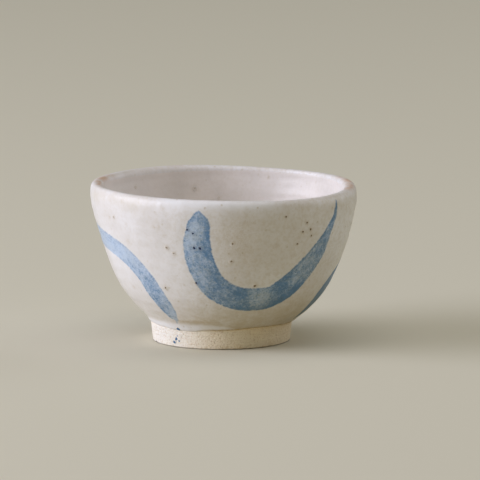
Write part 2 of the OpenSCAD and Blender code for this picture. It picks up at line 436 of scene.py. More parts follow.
    def settle(self, points: Array) -> Array:
        """Leans points and waves the rim as on the thrown cup.

        Points shift to the right by the lean at their height. They rise by the rim's waves, in proportion to
        the distance from the axis and, by a smooth step, to the height.

        Args:
            points: Points of the true form.

        Returns:
            The points where the real cup has them.
        """
        m, s = self.marks, self.sizes
        x, y, z = points[..., 0], points[..., 1], points[..., 2]
        azimuth, out = np.arctan2(x, -y), np.hypot(x, y) / s.rim_r
        rise = sum(w.at(azimuth) * out**w.crests for w in m.rim_waves)
        high = smooth(z, m.rim_waves_from * s.cup_h, s.cup_h)
        heights, shifts = np.array(m.lean).T
        return np.stack([x + np.interp(z, heights, shifts), y, z + rise * high], -1)

    def place(self, azimuth: Array, way: Array, lift: Array | float = 0.0) -> Array:
        """Points over the glazed surface.

        Args:
            azimuth: Azimuths in radians.
            way: Ways in metres.
            lift: Heights over the surface, outwards.

        Returns:
            The points, on the settled form.
        """
        return self._over(self._skin, azimuth, way, lift)

    def place_clay(self, azimuth: Array, way: Array) -> Array:
        """Points on the clay under the glazed surface's ways."""
        return self._over(self._clay, azimuth, way, 0.0)

    def _over(self, line: Line, azimuth: Array, way: Array, lift: Array | float) -> Array:
        """Points over one of the outlines, with relief, turned to their azimuth and settled.

        Args:
            line: Ways, places and directions out of the outline.
            azimuth: Azimuths in radians.
            way: Ways in metres.
            lift: Height over it in metres.

        Returns:
            The points.
        """
        ways, spots, out = line
        raised = lift + self.relief(azimuth, way)
        r = np.interp(way, ways, spots[:, 0]) + raised * np.interp(way, ways, out[:, 0])
        z = np.interp(way, ways, spots[:, 1]) + raised * np.interp(way, ways, out[:, 1])
        return self.settle(round_axis(azimuth, np.maximum(r, 0.0), z))


def normals_of(place: Place, azimuth: Array, way: Array) -> Array:
    """Directions out of a surface, from its slopes along both of its parameters.

    Args:
        place: Surface as a function of azimuth and way.
        azimuth: Azimuths in radians.
        way: Ways in metres.

    Returns:
        Unit directions, straight up where the surface shrinks to a pole.
    """
    turn_step, way_step = 2e-3, 0.05 * MM
    around = place(azimuth + turn_step, way) - place(azimuth - turn_step, way)
    along = place(azimuth, way + way_step) - place(azimuth, way - way_step)
    normal = np.cross(around, along)
    length = np.linalg.norm(normal, axis=-1, keepdims=True)
    flat = length < 1e-14
    normal = np.where(flat, np.array([0.0, 0.0, 1.0]), normal)
    return normal / np.where(flat, 1.0, length)


# Meshes


def grid_triangles(rows: int, columns: int, first: int = 0) -> Array:
    """Triangles of a grid of points that is numbered row by row.

    Each cell gives two triangles, which turn from a row's point to the next column and then the next row.

    Args:
        rows: Number of rows of points.
        columns: Number of columns of points.
        first: Number of the grid's first point.

    Returns:
        Point numbers, three to a triangle.
    """
    index = first + np.arange(rows * columns).reshape(rows, columns)
    a, b, c, d = index[:-1, :-1], index[:-1, 1:], index[1:, 1:], index[1:, :-1]
    return np.concatenate([np.stack(corners, -1).reshape(-1, 3) for corners in ((a, b, c), (a, c, d))])


def strip_triangles(upper: Array, lower: Array) -> Array:
    """Triangles of the wall between two rows of point numbers."""
    a, b, c, d = upper[:-1], upper[1:], lower[1:], lower[:-1]
    return np.concatenate([np.stack([a, c, b], -1), np.stack([a, d, c], -1)])


@dataclass
class Solid:
    """A closed mesh in the making: its points, triangles and what the surface carries."""

    points: Array
    triangles: Array
    normals: Array
    shown: Array
    fields: dict[str, Array] = field(default_factory=dict)

    @classmethod
    def shell(
        cls, top: Array, under: Array, normals: Array, fields: dict[str, Array], ring: bool = True
    ) -> "Solid":
        """A closed shell between two grids of the same shape.

        Args:
            top: Visible points, rows by columns by 3.
            under: Hidden points behind them.
            normals: Directions out of the visible points.
            fields: Values at the visible points, by name.
            ring: Whether the last column closes onto the first.

        Returns:
            The shell, with walls along its free borders.
        """
        rows, columns = top.shape[:2]
        count = rows * columns
        index = np.arange(count).reshape(rows, columns)
        borders = [index[0], index[-1][::-1]]
        if not ring:
            borders += [index[::-1, 0], index[:, -1]]
        face = grid_triangles(rows, columns)
        walls = [strip_triangles(b, b + count) for b in borders]
        triangles = np.concatenate([face, grid_triangles(rows, columns, count)[:, ::-1]] + walls)
        shown = np.arange(len(triangles)) < len(face)
        return cls(
            np.concatenate([top.reshape(-1, 3), under.reshape(-1, 3)]),
            triangles,
            np.concatenate([normals.reshape(-1, 3), np.zeros((count, 3))]),
            shown,
            {name: np.tile(np.broadcast_to(v, (rows, columns)).ravel(), 2) for name, v in fields.items()},
        )

    @classmethod
    def lathe(cls, points: Array, fields: dict[str, Array] | None = None) -> "Solid":
        """A solid of a grid closed in itself: rows pole to pole or in a ring, columns round the axis.

        Args:
            points: The grid, rows by columns by three.
            fields: Values on the grid, by name.

        Returns:
            The solid.
        """
        rows, columns = points.shape[:2]
        triangles = grid_triangles(rows, columns)
        flat = points.reshape(-1, 3)
        named = {n: np.broadcast_to(v, (rows, columns)).ravel() for n, v in (fields or {}).items()}
        return cls(flat, triangles, np.zeros_like(flat), np.zeros(len(triangles), bool), named)

    @classmethod
    def joined(cls, solids: Sequence["Solid"]) -> "Solid":
        """Several solids as one mesh of separate shells.

        Args:
            solids: Solids that carry the same fields.

        Returns:
            The mesh as a solid.
        """
        starts = np.cumsum([0] + [len(s.points) for s in solids[:-1]])
        return cls(
            np.concatenate([s.points for s in solids]),
            np.concatenate([s.triangles + n for s, n in zip(solids, starts)]),
            np.concatenate([s.normals for s in solids]),
            np.concatenate([s.shown for s in solids]),
            {name: np.concatenate([s.fields[name] for s in solids]) for name in solids[0].fields},
        )

    def welded(self) -> "Solid":
        """The same solid with coinciding points made one, empty triangles dropped and faces turned outwards.

        Points are the same where they agree to a nanometre, which closes seams and poles. The volume is
        the sum of the triangles' signed cones to the origin, and a negative one turns every triangle round.

        Returns:
            The welded solid.
        """
        keys = np.round(self.points * 1e9).astype(np.int64)
        _, first, number = np.unique(keys, axis=0, return_index=True, return_inverse=True)
        triangles = number.reshape(-1)[self.triangles]
        a, b, c = triangles.T
        full = (a != b) & (b != c) & (c != a)
        triangles, shown = triangles[full], self.shown[full]
        points = self.points[first]
        p, q, r = (points[triangles[:, k]] for k in range(3))
        if np.einsum("ij,ij->i", p, np.cross(q, r)).sum() < 0.0:
            triangles = triangles[:, ::-1]
        fields = {name: v[first] for name, v in self.fields.items()}
        return Solid(points, triangles, self.normals[first], shown, fields)

    def to_object(self, name: str, crease: float = 40.0) -> Thing:
        """Blender object of the welded solid.

        Args:
            name: Name of the piece.
            crease: Angle in degrees past which an edge between hidden or plain faces is sharp.

        Returns:
            The object at the origin, smooth, with the fields as attributes and the normals on shown faces.
        """
        solid = self.welded()
        mesh = bpy.data.meshes.new(name)
        mesh.vertices.add(len(solid.points))
        mesh.vertices.foreach_set("co", solid.points.astype(np.float32).ravel())
        mesh.loops.add(solid.triangles.size)
        mesh.loops.foreach_set("vertex_index", solid.triangles.astype(np.int32).ravel())
        mesh.polygons.add(len(solid.triangles))
        mesh.polygons.foreach_set("loop_start", np.arange(0, solid.triangles.size, 3, dtype=np.int32))
        mesh.update(calc_edges=True)
        mesh.shade_smooth()
        mesh.set_sharp_from_angle(angle=math.radians(crease))
        for field_name, values in solid.fields.items():
            attribute = mesh.attributes.new(field_name, "FLOAT", "POINT")
            attribute.data.foreach_set("value", values.astype(np.float32))
        if solid.shown.any():
            corners = solid.normals[solid.triangles] * solid.shown[:, None, None]
            mesh.normals_split_custom_set(corners.reshape(-1, 3).tolist())
        thing = bpy.data.objects.new(name, mesh)
        bpy.context.scene.collection.objects.link(thing)
        return thing


def settle_in(thing: Thing, material: Material, slot: Slot, nodes: Sequence[str]) -> None:
    """Dresses a piece and ties it to the frame.

    Args:
        thing: The piece.
        material: Its material.
        slot: Slot that the piece is logged under.
        nodes: CAD nodes that it stands for.
    """
    thing.data.materials.append(material)
    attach(thing, "root")
    if nodes:
        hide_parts(*nodes)
    log.info("piece %s: %d triangles, slot %s", thing.name, len(thing.data.polygons), slot.value)


# Shader groups


class Tree:
    """Short calls for building a node tree."""

    def __init__(self, tree: bpy.types.NodeTree) -> None:
        """Wraps a node tree."""
        self.tree = tree

    def add(self, kind: str, inputs: dict[str | int, Any] | None = None, **settings: Any) -> Node:
        """Adds one node.

        Args:
            kind: Node type, without the words ShaderNode.
            inputs: Values or sockets for its inputs, by name or number.
            **settings: Attributes of the node.

        Returns:
            The node.
        """
        node = self.tree.nodes.new("ShaderNode" + kind)
        for name, value in settings.items():
            setattr(node, name, value)
        for key, value in (inputs or {}).items():
            if isinstance(value, Socket):
                self.tree.links.new(value, node.inputs[key])
            else:
                node.inputs[key].default_value = value
        return node

    def math(self, operation: str, *values: Socket | float) -> Socket:
        """Result of an operation on numbers."""
        return self.add("Math", dict(enumerate(values)), operation=operation).outputs[0]

    def product(self, a: Socket, b: Socket | float) -> Socket:
        """Product of two numbers."""
        return self.math("MULTIPLY", a, b)

    def sway(self, value: Socket, noise: Socket, strength: float) -> Socket:
        """A value moved by a noise, up where the noise is over a half and down where it is under."""
        return self.math("MULTIPLY_ADD", self.math("SUBTRACT", noise, 0.5), strength, value)

    def span(self, value: Socket, low: float, high: float, start: float = 0.0, end: float = 1.0) -> Socket:
        """A value eased from start to end while it goes from low to high, and held outside."""
        limits = {0: value, 1: low, 2: high, 3: start, 4: end}
        return self.add("MapRange", limits, interpolation_type="SMOOTHSTEP").outputs[0]

    def mix(self, share: Socket | float, a: Socket | Colour, b: Socket | Colour) -> Socket:
        """Colour between two colours."""
        return self.add("Mix", {0: share, 6: a, 7: b}, data_type="RGBA").outputs[2]

    def veils(self, colour: Socket, *layers: tuple[Socket, Socket]) -> Socket:
        """A colour with others laid over it in turn, each given after its share.

        Args:
            colour: The lowest colour.
            layers: Pairs of a share and a colour.

        Returns:
            The colour on top.
        """
        for share, over in layers:
            colour = self.mix(share, colour, over)
        return colour

    def cells(self, place: Socket, scale: float) -> tuple[Socket, Socket]:
        """Scattered points: the distance to the nearest one and its own chance from 0 to 1."""
        cells = self.add("TexVoronoi", {"Vector": place, "Scale": scale}, feature="F1").outputs
        return cells["Distance"], self.add("SeparateColor", {0: cells["Color"]}).outputs[0]

    def noise(self, place: Socket, scale: float, detail: float = 2.0, roughness: float = 0.5) -> Socket:
        """Soft noise from about 0.25 to 0.75, with features of one over the scale."""
        values = {"Vector": place, "Scale": scale, "Detail": detail, "Roughness": roughness}
        return self.add("TexNoise", values).outputs["Fac"]

    def fields(self, *names: str) -> dict[str, Socket]:
        """Fields of the piece's surface, by the names of the group inputs that take them."""
        return {n.capitalize(): self.add("Attribute", attribute_name=n).outputs["Fac"] for n in names}

    def place_mm(self) -> Socket:
        """The piece's own coordinates in millimetres."""
        coordinates = self.add("TexCoord").outputs["Object"]
        return self.add("Mapping", {"Vector": coordinates, "Scale": (1.0 / MM,) * 3}).outputs[0]


class ShaderGroup:
    """A node group with named inputs and outputs, built once and placed in many materials."""

    def __init__(
        self, name: str, colours: Sequence[str], amounts: Sequence[str], outputs: dict[str, str]
    ) -> None:
        """Makes the empty group, whose first input is the place in millimetres.

        Args:
            name: Name of the group.
            colours: Names of its colour inputs.
            amounts: Names of its number inputs.
            outputs: Kinds of its outputs by name: Float or Color.
        """
        self.data = bpy.data.node_groups.new(name, "ShaderNodeTree")
        inputs = {"Place": "Vector"} | dict.fromkeys(colours, "Color") | dict.fromkeys(amounts, "Float")
        for in_out, sockets in (("INPUT", inputs), ("OUTPUT", outputs)):
            for socket, kind in sockets.items():
                self.data.interface.new_socket(socket, in_out=in_out, socket_type="NodeSocket" + kind)
        self.tree = Tree(self.data)
        self.given = self.data.nodes.new("NodeGroupInput").outputs
        self._result = self.data.nodes.new("NodeGroupOutput")

    def finish(self, **results: Socket) -> None:
        """Links the group's results to its outputs."""
        for name, socket in results.items():
            self.data.links.new(socket, self._result.inputs[name])

    def use(self, tree: Tree, inputs: dict[str, Any]) -> dict[str, Socket]:
        """Places the group in a tree and returns its outputs by name."""
        node = tree.add("Group", inputs, node_tree=self.data)
        return {socket.name: socket for socket in node.outputs}


class ShaderGroups:
    """The effects that several finishes share."""

    def __init__(self) -> None:
        """Builds every group."""
        self.glaze = self._milk_glaze()
        self.blue = self._brushed_blue()
        self.iron = self._iron_bleed()
        self.turning = self._turning_marks()
        self.clay = self._sandy_clay()

    @staticmethod
    def _milk_glaze() -> ShaderGroup:
        """Milky glaze, bluish where it pools, pinkish on the lip and warm where it is thin; the thin glaze
        low on the wall is partly painted shade.

        Returns:
            The group.
        """
        group = ShaderGroup(
            "milk glaze",
            ("Body", "Warm", "Thin", "Thick", "Scorched", "Honey"),
            ("Bare", "Pool", "Scorch", "Line", "Mottle"),
            {"Colour": "Color", "Roughness": "Float", "Height": "Float"},
        )
        t, given = group.tree, group.given
        place, thin = given["Place"], given["Thin"]
        clouds = t.noise(place, 0.07, 3.0)
        mottle = t.noise(place, 0.36, 5.0, 0.62)
        grain = t.noise(place, 1.05)
        side = t.add("SeparateXYZ", {0: place}).outputs[0]
        # Painted light: mottle, grain and pinholes fade towards the left, where the key lamp falls, so that
        # side comes out lighter and cooler.
        mottle_faded_on_lit_left = t.product(given["Mottle"], t.span(side, -28.0, -2.0, 0.45, 1.0))
        gap, chance = t.cells(place, 0.5)
        chosen = t.product(t.span(chance, 0.55, 0.6), mottle_faded_on_lit_left)
        pits = t.product(t.span(gap, 0.04, 0.14, 1.0, 0.0), chosen)
        brims = t.product(t.span(gap, 0.1, 0.24, 1.0, 0.0), chosen)
        colour = t.veils(
            given["Body"],
            (t.span(clouds, 0.4, 0.64, 0.0, 0.6), given["Warm"]),
            (t.product(mottle_faded_on_lit_left, t.span(mottle, 0.5, 0.7, 0.0, 0.5)), given["Warm"]),
            (t.product(mottle_faded_on_lit_left, t.span(grain, 0.4, 0.7, 0.0, 0.27)), thin),
            # Thin glaze colour, which low on the wall is partly painted shade.
            (t.product(given["Bare"], t.span(mottle, 0.3, 0.62, 0.35, 1.0)), thin),
            (t.product(given["Pool"], t.span(mottle, 0.3, 0.62, 0.45, 1.0)), given["Thick"]),
            (t.product(given["Scorch"], t.span(mottle, 0.3, 0.62, 0.25, 1.0)), given["Scorched"]),
            (t.product(given["Line"], t.span(grain, 0.3, 0.6, 0.55, 1.0)), given["Honey"]),
            (t.product(brims, 0.3), thin),
            (t.product(pits, 0.4), thin),
        )
        height = t.product(grain, 0.02)
        for part, rise in ((t.noise(place, 0.62), 0.04), (brims, 0.04), (pits, -0.09)):
            height = t.math("MULTIPLY_ADD", part, rise, height)
        rough = t.math("MULTIPLY_ADD", mottle, 0.25, 0.33)
        group.finish(Colour=colour, Roughness=rough, Height=height)
        return group

    @staticmethod
    def _brushed_blue() -> ShaderGroup:
        """Blue under the glaze from a wet brush: streaks, blotches, dots in pale rings and a ragged edge.

        Returns:
            The group.
        """
        group = ShaderGroup(
            "brushed blue",
            ("Ground", "Pale", "Deep"),
            ("Along", "Across", "Edge", "Load"),
            {"Colour": "Color", "Mask": "Float"},
        )
        t, given = group.tree, group.given
        place = given["Place"]
        across = t.product(given["Across"], 2.4)
        hairs = t.add("CombineXYZ", {0: t.product(given["Along"], 0.11), 1: across}).outputs[0]
        streaks = t.noise(hairs, 1.6, 4.0, 0.6)
        blotches = t.noise(place, 0.6, 6.0, 0.7)
        grains = t.noise(place, 1.9, 3.0, 0.65)
        mask = t.span(t.sway(t.sway(given["Edge"], blotches, 0.7), grains, 0.45), -0.2, 0.28)
        load = t.math("ADD", given["Load"], t.span(given["Edge"], 0.1, 1.0, 0.12, 0.0))
        for noise, strength in ((streaks, 0.55), (blotches, 1.35), (grains, 1.3)):
            load = t.sway(load, noise, strength)
        gap, chance = t.cells(place, 0.55)
        chosen = t.span(chance, 0.58, 0.64)
        ring = t.product(t.span(gap, 0.16, 0.34, 1.0, 0.0), chosen)
        dot = t.product(t.span(gap, 0.06, 0.16, 1.0, 0.0), chosen)
        load = t.math("MULTIPLY_ADD", ring, -0.22, t.math("MULTIPLY_ADD", dot, 0.75, load))
        tint = t.mix(t.span(load, 0.0, 1.0), given["Pale"], given["Deep"])
        tinted = {0: mask, 6: given["Ground"], 7: tint}
        colour = t.add("Mix", tinted, data_type="RGBA", blend_type="MULTIPLY")
        group.finish(Colour=colour.outputs[2], Mask=mask)
        return group

    @staticmethod
    def _iron_bleed() -> ShaderGroup:
        """Iron that has melted into the glaze: a dark core and a weak brown halo.

        Returns:
            The group.
        """
        group = ShaderGroup(
            "iron bleed",
            ("Ground", "Halo", "Core"),
            ("Stain", "Iron"),
            {"Colour": "Color", "Height": "Float"},
        )
        t, given = group.tree, group.given
        fine = t.noise(given["Place"], 2.6, 3.0, 0.6)
        # The halo's strength also carries one wide patch of painted shade on the front wall.
        stain = t.product(given["Stain"], t.span(fine, 0.3, 0.62, 0.35, 1.0))
        mask = t.span(t.sway(given["Iron"], fine, 0.8), 0.26, 0.72)
        colour = t.veils(given["Ground"], (stain, given["Halo"]), (mask, given["Core"]))
        group.finish(Colour=colour, Height=t.product(mask, -0.12))
        return group

    @staticmethod
    def _turning_marks() -> ShaderGroup:
        """Fine lines that a turning tool leaves round the axis, on sides and flat faces alike.

        Returns:
            The group.
        """
        group = ShaderGroup("turning marks", (), ("Lines",), {"Height": "Float", "Shade": "Float"})
        t, given = group.tree, group.given
        xyz = t.add("SeparateXYZ", {0: given["Place"]}).outputs
        flat = t.add("CombineXYZ", {0: xyz[0], 1: xyz[1]}).outputs[0]
        radius = t.add("VectorMath", {0: flat}, operation="LENGTH").outputs["Value"]
        drift = t.product(t.math("ADD", xyz[0], xyz[1]), 0.05)
        paced = {0: t.product(radius, given["Lines"]), 1: t.product(xyz[2], given["Lines"]), 2: drift}
        marks = t.noise(t.add("CombineXYZ", paced).outputs[0], 1.0, 4.0, 0.7)
        group.finish(Height=t.product(marks, 0.07), Shade=t.span(marks, 0.35, 0.65))
        return group

    @staticmethod
    def _sandy_clay() -> ShaderGroup:
        """Coarse fired clay: soft clouds, dark grains, small open pits, painted warm fill light and shade on
        its right, and painted contact shade where a lowest edge is marked for it.

        Returns:
            The group.
        """
        group = ShaderGroup(
            "sandy clay",
            ("Body", "Warm_fill_tint", "Pale", "Dark", "Contact_shadow"),
            ("Lines", "Edge_contact_shade"),
            {"Colour": "Color", "Roughness": "Float", "Height": "Float"},
        )
        t, given = group.tree, group.given
        place, dark = given["Place"], given["Dark"]
        side = t.add("SeparateXYZ", {0: place}).outputs[0]
        clouds = t.noise(place, 0.16, 3.0)
        sand = t.noise(place, 1.9, 4.0, 0.75)
        gap, chance = t.cells(place, 2.0)
        grain = t.product(t.span(gap, 0.2, 0.55, 1.0, 0.0), t.span(chance, 0.6, 0.95))
        colour = t.veils(
            given["Body"],
            # Painted warm fill light: the clay turns warmer from the left to the front and right, away from
            # the key lamp.
            (t.span(side, -17.0, 3.0), given["Warm_fill_tint"]),
            (t.span(clouds, 0.35, 0.65, 0.0, 0.35), given["Pale"]),
            (t.span(sand, 0.5, 0.66, 0.0, 0.5), dark),
            # Painted shade: the clay darkens towards its right, the side away from the key lamp.
            (t.span(side, 6.0, 19.0, 0.0, 0.3), dark),
            (t.product(given["Lines"], 0.06), dark),
            (t.product(grain, 0.4), dark),
            # Painted contact shade on the foot's lowest edge.
            (given["Edge_contact_shade"], given["Contact_shadow"]),
        )
        height = t.math("MULTIPLY_ADD", sand, 0.34, t.product(grain, -0.12))
        rough = t.math("MULTIPLY_ADD", sand, 0.2, 0.74)
        group.finish(Colour=colour, Roughness=rough, Height=height)
        return group


# Finishes


@dataclass(frozen=True)
class GlazeFinish:
    """Milky glaze over stoneware."""

    body: Colour = screen(234, 231, 232)
    body_inside: Colour = screen(237, 230, 226)
    warm: Colour = screen(220, 214, 210)
    thin: Colour = screen(200, 186, 161)
    thick: Colour = screen(239, 238, 241)
    scorched: Colour = screen(207, 170, 144)
    honey: Colour = screen(182, 146, 68)
    mottle: float = 1.0
    specular: float = 0.3
    coat: float = 0.22
    coat_roughness: float = 0.17
    mottle_inside: float = 0.4

    def inside(self) -> "GlazeFinish":
        """The same glaze as it came out inside the bowl."""
        return replace(self, body=self.body_inside, mottle=self.mottle_inside)


@dataclass(frozen=True)
class BlueFinish:
    """Brushed blue under the glaze: what a thin and a thick layer leave of the ground's colour."""

    pale: Colour = (0.64, 0.79, 0.98, 1.0)
    deep: Colour = (0.15, 0.32, 0.58, 1.0)


SPLASH_BLUE = BlueFinish((0.4, 0.6, 0.85, 1.0), (0.08, 0.2, 0.42, 1.0))


@dataclass(frozen=True)
class IronFinish:
    """Iron specks and the stain round them."""

    # Also the colour of the wide patch of painted shade on the front wall.
    halo: Colour = screen(186, 164, 128)
    core: Colour = screen(118, 98, 62)
    halo_in_blue: Colour = screen(78, 102, 140)
    core_in_blue: Colour = screen(24, 44, 88)


@dataclass(frozen=True)
class ClayFinish:
    """Bare fired clay."""

    body: Colour = screen(250, 245, 238)
    # Warm tint of the painted fill light on the clay's front and right.
    warm_fill_tint: Colour = screen(255, 237, 206)
    pale: Colour = screen(254, 246, 228)
    dark: Colour = screen(220, 192, 154)
    # Colour of the painted contact shade on the foot's lowest edge.
    contact_shadow: Colour = screen(96, 80, 56)
    lines: float = 3.0
    specular: float = 0.3


def values_of(finish: Any, *names: str) -> dict[str, Any]:
    """Values of a finish, by the names of the group inputs that take them."""
    return {name.capitalize(): getattr(finish, name) for name in names}


def settings(shader: Node, values: dict[str, float]) -> None:
    """Sets constants on a shader."""
    for name, value in values.items():
        shader.inputs[name].default_value = value


class Dresser:
    """Makes the materials of the pieces from their finishes."""

    def __init__(self) -> None:
        """Builds the shared groups."""
        self.groups = ShaderGroups()

    @staticmethod
    def _start(name: str) -> tuple[Material, Tree, Node, Socket]:
        """A new material, its tree, its shader and the coordinates in millimetres.

        Args:
            name: Name of the material.

        Returns:
            All four in that order.
        """
        material = bpy.data.materials.new(name)
        material.use_nodes = True
        tree = Tree(material.node_tree)
        shader = material.node_tree.nodes["Principled BSDF"]
        return material, tree, shader, tree.place_mm()

    @staticmethod
    def _link(tree: Tree, shader: Node, colour: Socket, roughness: Socket, height: Socket) -> None:
        """Links colour, roughness and a height in millimetres to the shader.

        Args:
            tree: Tree of the material.
            shader: Its shader.
            colour: Colour of the surface.
            roughness: Roughness of the surface.
            height: Height in millimetres.
        """
        bump = tree.add("Bump", {"Height": height, "Distance": MM, "Strength": 1.0})
        for name, socket in (("Base Color", colour), ("Roughness", roughness), ("Normal", bump.outputs[0])):
            tree.tree.links.new(socket, shader.inputs[name])

    def glazed(
        self,
        name: str,
        glaze: GlazeFinish,
        iron: IronFinish,
        blue: BlueFinish | None = None,
        specks: bool = False,
    ) -> Material:
        """Glaze, with brushed blue if it is given, and iron stains.

        Args:
            name: Name of the material.
            glaze: The glaze's colours.
            iron: Colours of the iron.
            blue: Colours of the brushed blue, or None.
            specks: Whether the surface also carries the specks' cores.

        Returns:
            The material.
        """
        material, t, shader, place = self._start(name)
        colours = values_of(glaze, "body", "warm", "thin", "thick", "scorched", "honey", "mottle")
        ground = self.groups.glaze.use(
            t, {"Place": place} | colours | t.fields("bare", "pool", "scorch", "line")
        )
        colour, core, halo = ground["Colour"], iron.core, iron.halo
        if blue:
            brushed = self.groups.blue.use(
                t,
                {"Place": place, "Ground": colour}
                | values_of(blue, "pale", "deep")
                | t.fields("along", "across", "edge", "load"),
            )
            colour, mask = brushed["Colour"], brushed["Mask"]
            core = t.mix(mask, iron.core, iron.core_in_blue)
            halo = t.mix(mask, iron.halo, iron.halo_in_blue)
        cores = {"Core": core} | t.fields("iron") if specks else {}
        stained = self.groups.iron.use(
            t, {"Place": place, "Ground": colour, "Halo": halo} | t.fields("stain") | cores
        )
        height = t.math("ADD", ground["Height"], stained["Height"])
        self._link(t, shader, stained["Colour"], ground["Roughness"], height)
        coat = {"Coat Weight": glaze.coat, "Coat Roughness": glaze.coat_roughness}
        settings(shader, {"Specular IOR Level": glaze.specular} | coat)
        return material

    def _sandy(self, t: Tree, place: Socket, finish: ClayFinish) -> tuple[dict[str, Socket], Socket]:
        """Outputs of the sandy clay and its full height, with the turning marks.

        Args:
            t: Tree of the material.
            place: Coordinates in millimetres.
            finish: Finish of the clay.

        Returns:
            The outputs by name, and the height.
        """
        marks = self.groups.turning.use(t, {"Place": place, "Lines": finish.lines})
        colours = values_of(finish, "body", "warm_fill_tint", "pale", "dark", "contact_shadow")
        sandy = self.groups.clay.use(
            t, {"Place": place, "Lines": marks["Shade"]} | colours | t.fields("edge_contact_shade")
        )
        return sandy, t.math("ADD", marks["Height"], sandy["Height"])

    def clay(self, name: str, finish: ClayFinish) -> Material:
        """Bare clay with turning marks.

        Args:
            name: Name of the material.
            finish: Its colours and how many lines a millimetre has.

        Returns:
            The material.
        """
        material, t, shader, place = self._start(name)
        sandy, height = self._sandy(t, place, finish)
        self._link(t, shader, sandy["Colour"], sandy["Roughness"], height)
        settings(shader, {"Specular IOR Level": finish.specular})
        return material

    def splash(self, name: str, clay: ClayFinish, blue: BlueFinish) -> Material:
        """Blue drops on bare clay.

        Args:
            name: Name of the material.
            clay: The clay round the drops.
            blue: Colours of the drops.

        Returns:
            The material.
        """
        material, t, shader, place = self._start(name)
        sandy, height = self._sandy(t, place, clay)
        ground = {"Place": place, "Ground": sandy["Colour"]}
        brushed = self.groups.blue.use(t, ground | values_of(blue, "pale", "deep") | t.fields("edge", "load"))
        self._link(t, shader, brushed["Colour"], sandy["Roughness"], height)
        return material


# Brushwork


@dataclass(frozen=True)
class Stroke:
    """One brushed sweep.

    Its rows are azimuth in degrees, share of the way up the wall and share of the brush's width. Its pools
    are places where the brush left more pigment, or less: share along, place across from -1 to 1, length,
    width and strength.
    """

    rows: Rows
    load: float
    pools: Rows
    brush_w: float = 7.6 * MM
    hair_w: float = 3.0 * MM
    least_half: float = 0.6 * MM
    reach: float = 1.6
    samples: int = 340

    def line(self, form: CupForm) -> dict[str, Array]:
        """Middle line of the stroke on the glazed surface.

        The rows are joined by a Catmull-Rom curve, in which each stretch between two rows is a cubic that
        runs parallel to its neighbours' chord at each row.

        Args:
            form: The cup's form.

        Returns:
            Arrays by name: azimuth, way, half width and its growth, distance along, and the unit
            directions along and across the stroke, as distances around and up.
        """
        rows = np.array(self.rows)
        last = len(rows) - 1
        place = np.linspace(0.0, last, self.samples)
        k = np.minimum(place.astype(int), last - 1)
        t = (place - k)[:, None]
        a, b, c, d = rows[np.maximum(k - 1, 0)], rows[k], rows[k + 1], rows[np.minimum(k + 2, last)]
        bend, twist = 2.0 * a - 5.0 * b + 4.0 * c - d, 3.0 * b - a - 3.0 * c + d
        curve = 0.5 * (2.0 * b + (c - a) * t + bend * t**2 + twist * t**3)
        azimuth, way, half = (curve * (math.pi / 180.0, form.wall_way, self.brush_w / 2.0)).T
        around, up = np.gradient(azimuth) * form.skin_r(way), np.gradient(way)
        step = np.hypot(around, up)
        along = np.concatenate([[0.0], np.cumsum(0.5 * (step[1:] + step[:-1]))])
        return {
            "azimuth": azimuth,
            "way": way,
            "half": half,
            "growth": np.gradient(half) / step,
            "along": along,
            "along_around": around / step,
            "along_up": up / step,
            "across_around": -up / step,
            "across_up": around / step,
        }

    def fields(self, form: CupForm, azimuth: Array, way: Array) -> dict[str, Array]:
        """What the stroke is like at places on the glaze.

        Each place is measured from the nearest sample of the middle line. Its edge value is the half width
        less the distance across, divided by the edge's own slope, and it is minus the overshoot past
        either end.

        Args:
            form: The cup's form.
            azimuth: Azimuths in radians.
            way: Ways in metres.

        Returns:
            Fields along and edge in millimetres, across in hair widths, and load as a share.
        """
        m = self.line(form)
        flat_azimuth, flat_way = np.broadcast_arrays(azimuth, way)
        shape = flat_azimuth.shape
        around = (flat_azimuth.reshape(-1, 1) - m["azimuth"]) * form.skin_r(m["way"])
        up = flat_way.reshape(-1, 1) - m["way"]
        near = np.argmin(around**2 + up**2, axis=1)
        pick = np.arange(len(near))
        around, up = around[pick, near], up[pick, near]
        across = around * m["across_around"][near] + up * m["across_up"][near]
        ahead = around * m["along_around"][near] + up * m["along_up"][near]
        half = m["half"][near]
        edge = (half - np.abs(across)) / np.sqrt(1.0 + m["growth"][near] ** 2)
        edge = np.where(near == 0, np.minimum(edge, ahead), edge)
        edge = np.where(near == len(m["way"]) - 1, np.minimum(edge, -ahead), edge)
        share_along = (m["along"][near] + ahead) / m["along"][-1]
        share_across = np.clip(across / np.maximum(half, self.least_half), -self.reach, self.reach)
        load = np.full_like(edge, self.load)
        for pool_along, pool_across, length, width, strength in self.pools:
            load += strength * bell(share_along, pool_along, length) * bell(share_across, pool_across, width)
        found = {
            "along": share_along * m["along"][-1] / MM,
            "across": across / self.hair_w,
            "edge": edge / MM,
            "load": load,
        }
        return {name: v.reshape(shape) for name, v in found.items()}


@dataclass(frozen=True)
class Stains:
    """Brown stains in the glaze, with one wide patch of painted shade among them.

    Rows are azimuth in degrees, share up the wall, diameter and strength.
    """

    rows: Rows
    spread: float = 0.6

    def on(self, form: CupForm, azimuth: Array, way: Array) -> Array:
        """Strength of the stains at places on the glaze.

        Each stain is a bell of its distance from the place, and the strongest one counts.

        Args:
            form: The cup's form.
            azimuth: Azimuths in radians.
            way: Ways in metres.

        Returns:
            Strengths from 0 to 1.
        """
        azimuths, ways = np.broadcast_arrays(azimuth, way)
        strength = np.zeros(azimuths.shape)
        for degrees, share, diameter, strong in self.rows:
            around = near_front(azimuths - math.radians(degrees)) * form.skin_r(ways)
            far = np.hypot(around, ways - share * form.wall_way)
            strength = np.maximum(strength, strong * bell(far, 0.0, self.spread * diameter))
        return strength


# Pieces


